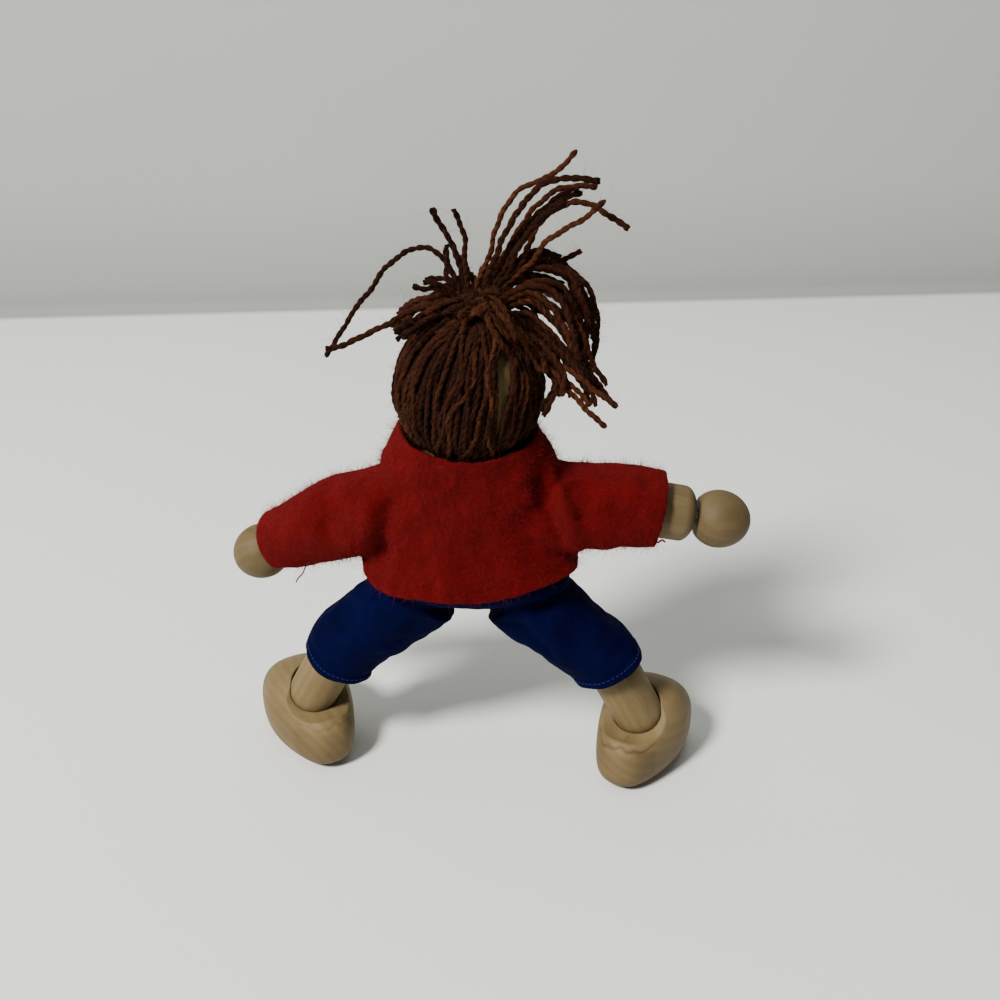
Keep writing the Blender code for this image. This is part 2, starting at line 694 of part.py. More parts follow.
def build_shoe(side_name, ankle):
    """Clog with a round seat for the shin's foot, a scooped ledge behind it and a hole for the wire."""
    turn = Matrix.Rotation(-SIDES[side_name] * math.radians(TOES_OUT[side_name]), 4, "Z")
    level = Matrix.Translation(ankle.matrix_world.translation) @ turn
    sole = add_empty("sole_" + side_name, ankle, (0, 0, 0), ankle.matrix_world.inverted() @ level)
    shoe = add_object("shoe_" + side_name, shoe_form(), sole, WOOD)
    ledge_place = (0, -LEDGE_BACK, LEDGE_HEIGHT - ANKLE_HEIGHT + LEDGE_RADIUS)
    ledge_seat = add_empty("ledge_" + side_name, sole, ledge_place, Matrix.Rotation(math.pi / 2, 4, "Y"))
    ledge = cylinder(
        "ledge_scoop_" + side_name, LEDGE_RADIUS, -SHOE_WIDTH, SHOE_WIDTH, ledge_seat, sides=CLOTH_SIDES
    )
    radius = SHIN_DIAMETER / 2 + CLEARANCE
    lean = place_in(ankle, sole) @ Matrix.Rotation(-math.radians(ANKLE_LEAN), 4, "X") @ place_in(sole, ankle)
    seat = add_object("ankle_seat_" + side_name, seat_form(radius, lean), ankle)
    bore = cylinder("ankle_bore_" + side_name, BORE_RADIUS, -radius - ANKLE_SEAT - WIRE_STOP, 0, ankle)
    cut(shoe, ledge, seat, bore)


def build_leg_wire(side_name, hip, knee, ankle):
    inner = Vector((SIDES[side_name] * HIP_SPACING / 2, 0, WIRE_SEAT))
    reach = SHIN_DIAMETER / 2 + CLEARANCE + ANKLE_SEAT
    corners = [inner, place_in(torso, hip).translation, place_in(torso, knee).translation]
    corners.append(place_in(torso, ankle) @ Vector((0, 0, -reach)))
    points = rounded_path(corners, min(HIP_DROP, KNEE_GAP / 2))
    curve_tube("leg_wire_" + side_name, points, WIRE_DIAMETER, torso, STEEL)


# Clothes

def cloth_tube(name, path, first, last, grow, capped):
    """Tapered tube over a path; grow widens it."""
    total = sum((b - a).length for a, b in zip(path, path[1:]))
    radii, run = [first / 2 + grow], 0
    for a, b in zip(path, path[1:]):
        run += (b - a).length
        radii.append((first + (last - first) * run / total) / 2 + grow)
    return skin(name, tube_rings(path, radii), capped)


def sweater_rings(grow):
    """Outer face of the sweater's body from hem to collar, with soft folds at the hem."""
    half_width = TORSO_WIDTH / 2 + SWEATER_EASE + FELT
    half_depth = TORSO_DEPTH / 2 + SWEATER_EASE_DEPTH + FELT
    head_height = TORSO_HEIGHT + NECK_SHOWN + HEAD_DIAMETER / 2
    top = head_height - COLLAR_DROP
    hair = HEAD_DIAMETER / 2 + CLEARANCE + HAIR_THICKNESS
    collar = math.sqrt(hair ** 2 - COLLAR_DROP ** 2) + CLEARANCE + FELT
    sections = []
    for share, wide, deep in SWEATER_SECTION_SHARES:
        sections.append((share, half_width * wide, half_depth * deep))
    sections.append((1, collar, half_depth))
    rings = []
    for share, wide, deep in sections:
        height = SWEATER_HEM_HEIGHT + (top - SWEATER_HEM_HEIGHT) * share
        ring = oval(wide + grow, deep + grow, SWEATER_POWER, height)
        dip = COLLAR_DIP * max(0, share - DIP_START_SHARE) / (1 - DIP_START_SHARE)
        for index, point in enumerate(ring):
            angle = 2 * math.pi * index / CLOTH_SIDES
            wave = HEM_FOLD_DEPTH * (1 - share) ** 3 * math.cos(HEM_FOLDS * angle)
            length = math.hypot(point.x, point.y)
            point.x *= 1 + wave / length
            point.y *= 1 + wave / length
            point.z -= dip * math.sin(angle) ** 2
        rings.append(ring)
    return rings


def arm_path(side_name, joints):
    """Middle line of a sleeve from inside the shoulder to the cuff."""
    shoulder, elbow, wrist = [place_in(torso, joint).translation for joint in joints]
    upper, lower = (elbow - shoulder), (wrist - elbow)
    cuff = elbow + lower.normalized() * (SLEEVE_REACH[side_name] - upper.length)
    return rounded_path([shoulder - upper.normalized() * SLEEVE_ROOT, elbow, cuff], CLOTH_EASE)


def build_sweater(arms):
    body = add_object("sweater_body", skin("sweater_body", sweater_rings(0), False), torso, RED_FELT)
    solidify(body, FELT)
    outside_mesh = skin("sweater_outside", sweater_rings(CLEARANCE), True)
    outside = add_object("sweater_outside", outside_mesh, torso)
    for side_name, joints in arms.items():
        path = arm_path(side_name, joints)
        name = "sleeve_" + side_name
        mesh = cloth_tube(name, path, SLEEVE_DIAMETER, CUFF_DIAMETER, 0, False)
        sleeve = add_object(name, mesh, torso, RED_FELT)
        solidify(sleeve, FELT)
        cut(sleeve, outside)
        hole_name = "armhole_" + side_name
        hole = cloth_tube(hole_name, path, SLEEVE_DIAMETER, CUFF_DIAMETER, -FELT, True)
        cut(body, add_object(hole_name, hole, torso))


def seat_rings(grow):
    """Outer face of the trousers' seat from the crotch to the waist; grow widens it."""
    half_width = TORSO_WIDTH / 2 + WAIST_EASE + COTTON
    half_depth = TORSO_DEPTH / 2 + WAIST_EASE + COTTON
    span = WAIST_HEIGHT + CROTCH_DROP
    rings = []
    for share, wide, deep in SEAT_SECTION_SHARES:
        height = span * share - CROTCH_DROP - (grow if share == 0 else 0)
        rings.append(oval(half_width * wide + grow, half_depth * deep + grow, SEAT_POWER, height))
    return rings


def leg_path(side_name, joints):
    """Middle line of a trouser leg, which bags out above the thigh bead."""
    hip, knee, ankle = [place_in(torso, joint).translation for joint in joints]
    thigh, shin = knee - hip, ankle - knee
    outwards = Vector((-thigh.z, 0, thigh.x)).normalized() * LEG_BAG
    if outwards.z < 0:
        outwards = -outwards
    cuff = knee + shin.normalized() * (LEG_REACH - thigh.length)
    root = hip - thigh.normalized() * LEG_ROOT + outwards
    return rounded_path([root, knee + outwards * LEG_BAG_KNEE_SHARE, cuff], CLOTH_EASE)


def build_trousers(legs):
    seat_mesh = skin("trousers_seat", seat_rings(0), True)
    seat = add_object("trousers_seat", seat_mesh, torso, BLUE_COTTON)
    inside = add_object("trousers_inside", skin("trousers_inside", seat_rings(-COTTON), True), torso)
    inside.location.z = COTTON
    cut(seat, inside)
    outside_mesh = skin("trousers_outside", seat_rings(CLEARANCE), True)
    outside = add_object("trousers_outside", outside_mesh, torso)
    for side_name, joints in legs.items():
        path = leg_path(side_name, joints)
        name = "trouser_leg_" + side_name
        mesh = cloth_tube(name, path, LEG_TOP_DIAMETER, LEG_CUFF_DIAMETER, 0, False)
        leg = add_object(name, mesh, torso, BLUE_COTTON)
        solidify(leg, COTTON)
        cut(leg, outside)
        hole_name = "leg_hole_cloth_" + side_name
        hole = cloth_tube(hole_name, path, LEG_TOP_DIAMETER, LEG_CUFF_DIAMETER, -COTTON, True)
        cut(seat, add_object(hole_name, hole, torso))


def stand_up(ankle):
    """Lift the doll until its ankles are at their height over the floor."""
    bpy.context.view_layer.update()
    torso.location.z = ANKLE_HEIGHT - ankle.matrix_world.translation.z
    bpy.context.view_layer.update()


def centre():
    """Move the doll until the middle of its box is over the origin."""
    bpy.context.view_layer.update()
    graph = bpy.context.evaluated_depsgraph_get()
    low, high = Vector((1, 1, 1)), Vector((-1, -1, -1))
    for thing in doll.objects:
        if thing.type == "EMPTY":
            continue
        evaluated = thing.evaluated_get(graph)
        for corner in evaluated.to_mesh().vertices:
            place = thing.matrix_world @ corner.co
            low = Vector(map(min, low, place))
            high = Vector(map(max, high, place))
        evaluated.to_mesh_clear()
    base.location.x -= (low.x + high.x) / 2
    base.location.y -= (low.y + high.y) / 2


clear_scene()
doll = new_collection("bendy_doll")
cutters = new_collection("cutters")
base = add_empty("base", None, (0, 0, 0))
torso = add_empty("torso", base, (0, 0, 0), Matrix.Rotation(math.radians(DOLL_YAW), 4, "Z"))
head = add_empty("head", torso, (0, 0, TORSO_HEIGHT + NECK_SHOWN + HEAD_DIAMETER / 2))
crown = add_empty("crown", head, (0, 0, 0), Matrix.Rotation(math.radians(CROWN_LEAN), 4, "Y"))

build_torso()
build_neck()
build_head()
build_hair_cap()
build_hair_tuft()
build_hair_tie()
arm_joints = {side_name: build_arm(side_name) for side_name in SIDES}
leg_joints = {side_name: build_leg(side_name) for side_name in SIDES}
stand_up(leg_joints["right"][2])
for side_name, leg in leg_joints.items():
    build_leg_wire(side_name, *leg)
    build_shoe(side_name, leg[2])
build_sweater(arm_joints)
build_trousers(leg_joints)
centre()
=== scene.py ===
"""Looks of the bendy doll: turned wood, twisted yarn hair, a fuzzy felt sweater and cotton trousers.

All lengths are in millimetres until a mesh is made. The doll stands on z = 0 and faces +Y.
"""

import json
import math

import bmesh
import bpy
import numpy as np
from mathutils import Matrix, Vector, noise
from mathutils.bvhtree import BVHTree


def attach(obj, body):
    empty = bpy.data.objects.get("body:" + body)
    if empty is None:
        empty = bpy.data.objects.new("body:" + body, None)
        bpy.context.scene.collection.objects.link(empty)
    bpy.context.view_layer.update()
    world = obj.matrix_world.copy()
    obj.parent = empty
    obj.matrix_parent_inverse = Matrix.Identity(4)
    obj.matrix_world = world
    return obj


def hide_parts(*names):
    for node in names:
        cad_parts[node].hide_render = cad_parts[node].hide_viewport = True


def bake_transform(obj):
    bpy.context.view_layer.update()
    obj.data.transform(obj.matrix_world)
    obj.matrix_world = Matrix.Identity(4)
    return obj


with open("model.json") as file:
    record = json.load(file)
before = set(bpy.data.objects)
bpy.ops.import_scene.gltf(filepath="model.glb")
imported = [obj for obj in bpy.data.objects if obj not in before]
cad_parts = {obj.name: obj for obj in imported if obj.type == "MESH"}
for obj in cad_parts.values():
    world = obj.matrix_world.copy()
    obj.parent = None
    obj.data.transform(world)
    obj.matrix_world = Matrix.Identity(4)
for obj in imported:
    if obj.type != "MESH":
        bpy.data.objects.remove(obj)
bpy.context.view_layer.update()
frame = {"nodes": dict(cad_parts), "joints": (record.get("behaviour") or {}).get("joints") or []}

RNG = np.random.default_rng(11)
JOINTS = {joint["name"]: joint for joint in frame["joints"]}
SIDES = {"right": 1, "left": -1}


def place_of(joint_name):
    return np.array(JOINTS[joint_name]["pos_m"], float) * 1000


def unit(vector):
    vector = np.asarray(vector, float)
    return vector / np.linalg.norm(vector)


def arm_line(side):
    return [place_of(f"{name}_{side}") for name in ("shoulder_lift", "elbow_bend", "wrist_bend")]


def leg_line(side):
    return [place_of(f"{name}_{side}") for name in ("hip_swing", "knee_bend", "ankle_bend")]


HEAD = place_of("head_turn")
HEAD_RADIUS = 12.0
CENTRE = np.array([HEAD[0], HEAD[1], 0.0])
TORSO_FOOT = HEAD[2] - 42.5
CROWN = unit([math.sin(math.radians(8)), 0, math.cos(math.radians(8))])
TIE = HEAD + CROWN * 15.5

# Camera

EYE = HEAD + (5.7, -208.4, 87.8)
TARGET = HEAD + (5.7, 0, -23.0)
FORWARD = unit(TARGET - EYE)
RIGHT = np.array([1.0, 0, 0])
UP = np.cross(RIGHT, FORWARD)
FOCAL = 1250.0

camera_data = bpy.data.cameras.new("camera")
camera_data.lens = 45
camera_data.sensor_width = 36
camera_data.clip_start = 0.01
camera = bpy.data.objects.new("camera", camera_data)
camera.location = EYE * 0.001
camera.rotation_euler = Vector(FORWARD).to_track_quat("-Z", "Y").to_euler()
bpy.context.scene.collection.objects.link(camera)
bpy.context.scene.camera = camera


def ray(x, y):
    """Direction from the camera through a point of the photograph."""
    return FORWARD + RIGHT * (x - 500) / FOCAL - UP * (y - 500) / FOCAL


def seen(x, y, depth):
    """Point seen at a place of the photograph that lies at the given y of the doll's space."""
    way = ray(x, y)
    return EYE + way * (depth - EYE[1]) / way[1]


# Mesh helpers

def make_mesh(name, verts, faces, layers=None, normals=None):
    """Mesh from points in millimetres; layers are named per-point values or vectors."""
    mesh = bpy.data.meshes.new(name)
    mesh.from_pydata((np.asarray(verts) * 0.001).tolist(), [], [list(face) for face in faces])
    mesh.validate()
    mesh.shade_smooth()
    for key, values in (layers or {}).items():
        values = np.asarray(values, np.float32)
        kind = "FLOAT" if values.ndim == 1 else "FLOAT_VECTOR"
        layer = mesh.attributes.new(key, kind, "POINT")
        layer.data.foreach_set("value" if values.ndim == 1 else "vector", values.ravel())
    if normals is not None:
        mesh.normals_split_custom_set_from_vertices(normals.tolist())
    return mesh


def add_piece(name, mesh, material, body=None, slot=None, replaced=()):
    thing = bpy.data.objects.new(name, mesh)
    bpy.context.scene.collection.objects.link(thing)
    mesh.materials.clear()
    mesh.materials.append(material)
    if body:
        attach(thing, body)
    if replaced:
        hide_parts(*replaced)
    return thing


def evaluated(mesh, modifiers):
    """Points in millimetres and faces of a mesh after the modifiers, given as (kind, settings)."""
    thing = bpy.data.objects.new("working", mesh)
    bpy.context.scene.collection.objects.link(thing)
    for kind, settings in modifiers:
        modifier = thing.modifiers.new(kind, kind)
        for key, value in settings.items():
            setattr(modifier, key, value)
    bpy.context.view_layer.update()
    done = thing.evaluated_get(bpy.context.evaluated_depsgraph_get())
    result = done.to_mesh()
    verts = np.empty(len(result.vertices) * 3)
    result.vertices.foreach_get("co", verts)
    faces = [tuple(face.vertices) for face in result.polygons]
    done.to_mesh_clear()
    bpy.data.objects.remove(thing)
    return verts.reshape(-1, 3) * 1000, faces


def remesh(size):
    return "REMESH", {"mode": "VOXEL", "voxel_size": size}


def smooth(factor, rounds):
    return "SMOOTH", {"factor": factor, "iterations": rounds}


def point_normals(verts, faces):
    mesh = make_mesh("normals", verts, faces)
    found = np.empty(len(mesh.vertices) * 3)
    mesh.vertices.foreach_get("normal", found)
    bpy.data.meshes.remove(mesh)
    return found.reshape(-1, 3)


def basis(way, hint=(0, 1, 0)):
    """Two unit vectors square to a way, the first near the hint."""
    hint = np.asarray(hint, float)
    first = unit(hint - way * (hint @ way))
    return first, np.cross(way, first)


def run_along(path):
    """Distance travelled to each point of a path."""
    return np.concatenate([[0], np.cumsum(np.linalg.norm(np.diff(path, axis=0), axis=1))])


def turns(count):
    """Angles of one full turn in equal steps."""
    return np.linspace(0, 2 * math.pi, count, endpoint=False)


def rounded(values, power):
    """Cosines or sines, bent towards a box as the power grows over 2."""
    return np.sign(values) * np.abs(values) ** (2 / power)


def grid_faces(rows, sides, closed=True, turned=False):
    """Quads between rows of points; closed rows meet their own start, turned quads face the other way."""
    faces = []
    for row in range(rows - 1):
        low, high = row * sides, (row + 1) * sides
        for side in range(sides if closed else sides - 1):
            after = (side + 1) % sides
            a, b, c, d = low + side, low + after, high + after, high + side
            faces.append((a, d, c, b) if turned else (a, b, c, d))
    return faces


def capped_faces(rows, sides):
    """Faces of a closed skin over rows of points."""
    last = (rows - 1) * sides
    return grid_faces(rows, sides) + [tuple(range(sides))[::-1], tuple(range(last, last + sides))]


def curve_through(points, step):
    """Smooth curve through points, sampled about every step."""
    points = np.asarray(points, float)
    knots = np.vstack([2 * points[0] - points[1], points, 2 * points[-1] - points[-2]])
    share = np.linspace(0, 1, 17)[:-1, None]
    runs = []
    for a, b, c, d in zip(knots, knots[1:], knots[2:], knots[3:]):
        runs.append(0.5 * (2 * b + (c - a) * share + (2 * a - 5 * b + 4 * c - d) * share ** 2
                           + (3 * b - a - 3 * c + d) * share ** 3))
    fine = np.vstack(runs + [points[-1:]])
    travelled = run_along(fine)
    count = max(3, int(travelled[-1] / step) + 1)
    wanted = np.linspace(0, travelled[-1], count)
    return np.column_stack([np.interp(wanted, travelled, fine[:, axis]) for axis in range(3)])


def frames_along(path):
    """Tangents and two normals carried along a path without twist."""
    ways = np.gradient(path, axis=0)
    ways /= np.linalg.norm(ways, axis=1)[:, None]
    first = np.empty_like(path)
    seed = np.array([0.31, 0.87, 0.38])
    current = unit(seed - ways[0] * (seed @ ways[0]))
    for index, way in enumerate(ways):
        current = unit(current - way * (current @ way))
        first[index] = current
    return ways, first, np.cross(ways, first)


def wander(path, scale, reach):
    """Smooth uneven offsets for the points of a path, the same in each run."""
    shifts = ((0.0, 0.0, 0.0), (37.3, 11.7, 5.1), (7.9, 53.2, 19.6))
    offsets = [[noise.noise(Vector(point * scale + shift)) for shift in shifts] for point in path]
    return np.array(offsets) * reach


class Heap:
    """Tubes gathered into one mesh, with the distance along each and its tone stored per point."""

    def __init__(self):
        self.verts, self.faces, self.along, self.tone = [], [], [], []
        self.count = 0

    def tube(self, path, radii, sides=6, tone=0.5):
        ways, first, second = frames_along(path)
        angles = turns(sides)
        radii = np.broadcast_to(radii, len(path))
        ring = (first[:, None] * np.cos(angles)[:, None] + second[:, None] * np.sin(angles)[:, None])
        verts = (path[:, None] + ring * radii[:, None, None]).reshape(-1, 3)
        tips = np.vstack([path[0] - ways[0] * radii[0] * 0.4, path[-1] + ways[-1] * radii[-1] * 0.4])
        start, rows = self.count, len(path)
        self.faces += [tuple(start + index for index in face) for face in grid_faces(rows, sides)]
        head, tail = start + rows * sides, start + rows * sides + 1
        last = start + (rows - 1) * sides
        for side in range(sides):
            after = (side + 1) % sides
            self.faces.append((start + after, start + side, head))
            self.faces.append((last + side, last + after, tail))
        run = run_along(path)
        self.verts += [verts, tips]
        self.along.append(np.concatenate([np.repeat(run, sides), [0, run[-1]]]))
        tones = np.broadcast_to(tone, rows)
        self.tone.append(np.concatenate([np.repeat(tones, sides), [tones[0], tones[-1]]]))
        self.count += len(verts) + 2

    def yarn(self, path, radius, pitch, tone=0.5, phase=0.0, sides=6, fray=0.0, twist=0.40):
        """Two plies twisted round each other; fray parts and darkens them at the far end."""
        _, first, second = frames_along(path)
        run = run_along(path)
        left = run[-1] - run
        swell = 1 + 0.06 * np.sin(run * 1.9 + phase) + 0.05 * np.sin(run * 4.3 + 2 * phase)
        part = 1 + fray * np.exp(-left / 0.8)
        taper = np.clip(0.60 + left / 1.1, 0, 1)
        shade = tone - 0.45 * fray * np.exp(-left / 2.2)
        for ply in range(2):
            turn = phase + ply * math.pi + 2 * math.pi * run / pitch
            offset = (first * np.cos(turn)[:, None] + second * np.sin(turn)[:, None])
            centre = path + offset * (radius * twist * part)[:, None]
            thickness = radius * (1.06 - twist) * swell * taper
            self.tube(centre, thickness, sides, shade + (0.05 if ply else -0.05))

    def mesh(self, name, **layers):
        found = {"along": np.concatenate(self.along), "tone": np.concatenate(self.tone)}
        return make_mesh(name, np.vstack(self.verts), self.faces, {**found, **layers})

    def add(self, name, material, body, slot, replaced=()):
        return add_piece(name, self.mesh(name), material, body, slot, replaced)


def fibre(heap, root, way, length, curl, radius=0.022, tone=0.5):
    """One thin bent fibre, three-sided."""
    bend = unit(RNG.normal(size=3)) * curl
    shares = np.linspace(0, 1, 4)[:, None]
    path = root + way * length * shares + bend * length * shares ** 2
    heap.tube(path, radius * (1 - 0.7 * shares[:, 0]), 3, tone)


# Materials

WHITE, BLACK = (1, 1, 1), (0, 0, 0)


class Shader:
    """Node tree of one material, built by short calls."""

    def __init__(self, name, roughness, **settings):
        self.material = bpy.data.materials.new(name)
        self.material.use_nodes = True
        self.tree = self.material.node_tree
        self.out = self.tree.nodes["Principled BSDF"]
        self.out.inputs["Roughness"].default_value = roughness
        for key, value in settings.items():
            self.out.inputs[key.replace("_", " ")].default_value = value

    def node(self, kind, **settings):
        made = self.tree.nodes.new("ShaderNode" + kind)
        for key, value in settings.items():
            if key in made.inputs.keys():
                if isinstance(value, bpy.types.NodeSocket):
                    self.tree.links.new(value, made.inputs[key])
                else:
                    made.inputs[key].default_value = value
            else:
                setattr(made, key, value)
        return made

    def layer(self, name, part="Vector"):
        return self.node("Attribute", attribute_name=name).outputs[part]

    def scaled(self, source, scale, shift=(0, 0, 0)):
        made = self.node("Mapping", Scale=scale, Location=shift)
        self.tree.links.new(source, made.inputs["Vector"])
        return made.outputs["Vector"]

    def noise(self, source, scale=1.0, detail=3.0, rough=0.5, distortion=0.0):
        made = self.node("TexNoise", Scale=scale, Detail=detail, Roughness=rough, Distortion=distortion)
        self.tree.links.new(source, made.inputs["Vector"])
        return made.outputs["Fac"]

    def sum(self, kind, a, b=0.0, clamp=False):
        made = self.node("Math", operation=kind, use_clamp=clamp)
        for index, value in enumerate((a, b)):
            if isinstance(value, bpy.types.NodeSocket):
                self.tree.links.new(value, made.inputs[index])
            else:
                made.inputs[index].default_value = value
        return made.outputs[0]

    def times(self, a, b, clamp=False):
        return self.sum("MULTIPLY", a, b, clamp)

    def plus(self, a, b, clamp=False):
        return self.sum("ADD", a, b, clamp)

    def base_colour(self):
        """What feeds the base colour so far."""
        return self.out.inputs["Base Color"].links[0].from_socket

    def place(self):
        """Place in the piece's own space, in millimetres."""
        return self.scaled(self.node("TexCoord").outputs["Object"], (1000, 1000, 1000))

    def ramp(self, source, stops):
        made = self.node("ValToRGB")
        self.tree.links.new(source, made.inputs["Fac"])
        elements = made.color_ramp.elements
        while len(elements) < len(stops):
            elements.new(0.5)
        for element, (place, colour) in zip(elements, stops):
            element.position = place
            element.color = (*colour, 1) if len(colour) == 3 else colour
        return made.outputs["Color"]

    def mix(self, share, a, b, kind="MIX"):
        made = self.node("Mix", data_type="RGBA", blend_type=kind)
        for index, value in ((0, share), (6, a), (7, b)):
            if isinstance(value, bpy.types.NodeSocket):
                self.tree.links.new(value, made.inputs[index])
            elif index:
                made.inputs[index].default_value = (*value, 1)
            else:
                made.inputs[index].default_value = value
        return made.outputs[2]

    def tinted(self, colour, share, source, stops):
        """The colour multiplied, by the share, with a ramp over the source."""
        return self.mix(share, colour, self.ramp(source, stops), "MULTIPLY")

    def colour(self, source):
        self.tree.links.new(source, self.out.inputs["Base Color"])

    def bump(self, source, depth, strength=1.0):
        made = self.node("Bump", Strength=strength, Distance=depth * 0.001)
        self.tree.links.new(source, made.inputs["Height"])
        self.tree.links.new(made.outputs["Normal"], self.out.inputs["Normal"])


def wood(name, shift=None, dark=1.0):
    """Pale close-grained wood: faint growth lines, short rays and fine pores along the piece.

    With a shift the grain follows the turned piece's own "grain" layer, moved by the shift.
    """
    shader = Shader(name, 0.60, Specular_IOR_Level=0.20)
    place = shader.scaled(shader.layer("grain"), (1, 1, 1), shift) if shift else shader.place()
    cloudy = shader.noise(shader.scaled(place, (0.10, 0.10, 0.05)), 1, 3, 0.5)
    warp = shader.noise(shader.scaled(place, (0.16, 0.16, 0.05)), 1, 2, 0.5)
    rings = shader.node("TexWave", wave_type="RINGS", rings_direction="Z", Scale=0.16, Distortion=2.2,
                        Detail=2.0)
    rings.inputs["Detail Scale"].default_value = 0.6
    shader.tree.links.new(shader.scaled(place, (1, 1, 0.12), (9, 13, 0)), rings.inputs["Vector"])
    pores = shader.noise(shader.scaled(place, (7, 7, 0.55)), 1, 3, 0.6)
    rays = shader.noise(shader.scaled(place, (3.2, 3.2, 0.28), (5, 0, 2)), 1, 2, 0.5)
    pale, deep = (0.166, 0.119, 0.053), (0.122, 0.084, 0.035)
    colour = shader.ramp(cloudy, [(0.30, [c * dark for c in deep]), (0.62, [c * dark for c in pale])])
    colour = shader.tinted(colour, 0.55, rings.outputs["Fac"], [(0.25, (0.86, 0.82, 0.77)), (0.75, WHITE)])
    colour = shader.tinted(colour, 0.55, pores, [(0.36, (0.80, 0.74, 0.67)), (0.52, WHITE)])
    colour = shader.tinted(colour, 0.45, rays, [(0.30, (0.74, 0.64, 0.54)), (0.40, WHITE)])
    shader.colour(colour)
    height = shader.plus(shader.times(pores, 0.6), shader.times(warp, 0.8))
    shader.bump(height, 0.10, 0.55)
    return shader


def felt():
    """Red felted wool: dense short fibres, faint knitted rows and paler flecks."""
    shader = Shader("red_felt", 0.95, Specular_IOR_Level=0.05, Sheen_Weight=0.05, Sheen_Roughness=0.6,
                    Sheen_Tint=(1.0, 0.16, 0.14, 1.0))
    place = shader.layer("rest")
    patch = shader.noise(place, 0.22, 3, 0.55)
    clump = shader.noise(place, 1.2, 4, 0.62)
    hairs = shader.noise(shader.scaled(place, (2.0, 2.0, 6.0)), 1, 4, 0.7, 1.2)
    across = shader.noise(shader.scaled(place, (6.0, 2.0, 1.8), (4, 1, 7)), 1, 4, 0.7, 1.2)
    fine = shader.times(shader.plus(hairs, across), 0.5)
    colour = shader.ramp(patch, [(0.30, (0.073, 0.0010, 0.0020)), (0.70, (0.104, 0.0016, 0.0030))])
    colour = shader.tinted(colour, 0.70, clump, [(0.30, (0.70, 0.6, 0.6)), (0.66, (1.10, 1.1, 1.1))])
    colour = shader.tinted(colour, 0.70, fine, [(0.36, (0.60, 0.5, 0.5)), (0.60, (1.30, 1.3, 1.3))])
    pale = shader.ramp(hairs, [(0.64, BLACK), (0.76, WHITE)])
    colour = shader.mix(shader.times(pale, 0.30), colour, (0.21, 0.010, 0.011))
    shader.colour(colour)
    shader.bump(shader.plus(shader.times(clump, 0.9), fine), 0.55, 1.0)
    return shader.material


def felt_fuzz():
    """Loose red fibres, paler than the felt that they stand on."""
    shader = Shader("red_felt_fuzz", 0.9, Specular_IOR_Level=0.05)
    patch = shader.noise(shader.layer("rest"), 0.5, 2, 0.5)
    shader.colour(shader.ramp(patch, [(0.3, (0.14, 0.0035, 0.0045)), (0.7, (0.24, 0.0090, 0.0095))]))
    shader.bump(patch, 0.02, 0.3)
    return shader.material


def cotton():
    """Blue cotton with a fine plain weave, a little lint and faded high spots."""
    shader = Shader("blue_cotton", 0.9, Specular_IOR_Level=0.03)
    place = shader.layer("rest")
    weave = []
    for direction, turn in (("X", 0.0), ("Z", 0.6)):
        wave = shader.node("TexWave", wave_type="BANDS", bands_direction=direction, Scale=1.35,
                           Distortion=0.6, Detail=1.0)
        wave.inputs["Phase Offset"].default_value = turn
        shader.tree.links.new(place, wave.inputs["Vector"])
        weave.append(wave.outputs["Fac"])
    cloth = shader.times(shader.plus(*weave), 0.5)
    patch = shader.noise(place, 0.16, 3, 0.5)
    speck = shader.noise(place, 3.2, 3, 0.6)
    colour = shader.ramp(patch, [(0.30, (0.0003, 0.0007, 0.0160)), (0.70, (0.0005, 0.0012, 0.0260))])
    colour = shader.tinted(colour, 0.5, cloth, [(0.2, (0.70, 0.70, 0.72)), (0.8, (1.1, 1.1, 1.1))])
    colour = shader.tinted(colour, 0.5, speck, [(0.35, (0.60, 0.62, 0.66)), (0.6, (1.1, 1.1, 1.1))])
    shader.colour(colour)
    shader.bump(shader.plus(cloth, shader.times(speck, 0.8)), 0.10, 0.6)
    return shader.material


def yarn_look(name, deep, mid, bright):
    """Twisted wool: fine fibres along the ply, strands of differing brown."""
    shader = Shader(name, 0.9, Specular_IOR_Level=0.05, Sheen_Weight=0.02, Sheen_Roughness=0.5,
                    Sheen_Tint=(0.95, 0.45, 0.20, 1.0))
    place = shader.place()
    along = shader.layer("along", "Fac")
    tone = shader.layer("tone", "Fac")
    fibres = shader.noise(shader.scaled(place, (5.5, 5.5, 3.0)), 1, 4, 0.75, 1.4)
    slow = shader.noise(place, 0.35, 2, 0.5)
    level = shader.plus(shader.times(fibres, 0.90), shader.times(slow, 0.35))
    level = shader.plus(level, shader.times(tone, 0.60))
    level = shader.sum("SUBTRACT", level, 0.50)
    stripes = shader.sum("SINE", shader.times(along, 7.0))
    level = shader.plus(level, shader.times(stripes, 0.03), True)
    shader.colour(shader.ramp(level, [(0.18, deep), (0.52, mid), (0.90, bright)]))
    shader.bump(fibres, 0.28, 1.0)
    return shader.material


def plain(name, colour, roughness=0.85, metallic=0.0, grain=6.0):
    """Thread or wire: one colour broken by fine noise."""
    shader = Shader(name, roughness, Metallic=metallic)
    speck = shader.noise(shader.place(), grain, 3, 0.6)
    low, high = [c * 0.72 for c in colour], [c * 1.2 for c in colour]
    shader.colour(shader.ramp(speck, [(0.35, low), (0.65, high)]))
    shader.bump(speck, 0.01, 0.6)
    return shader.material


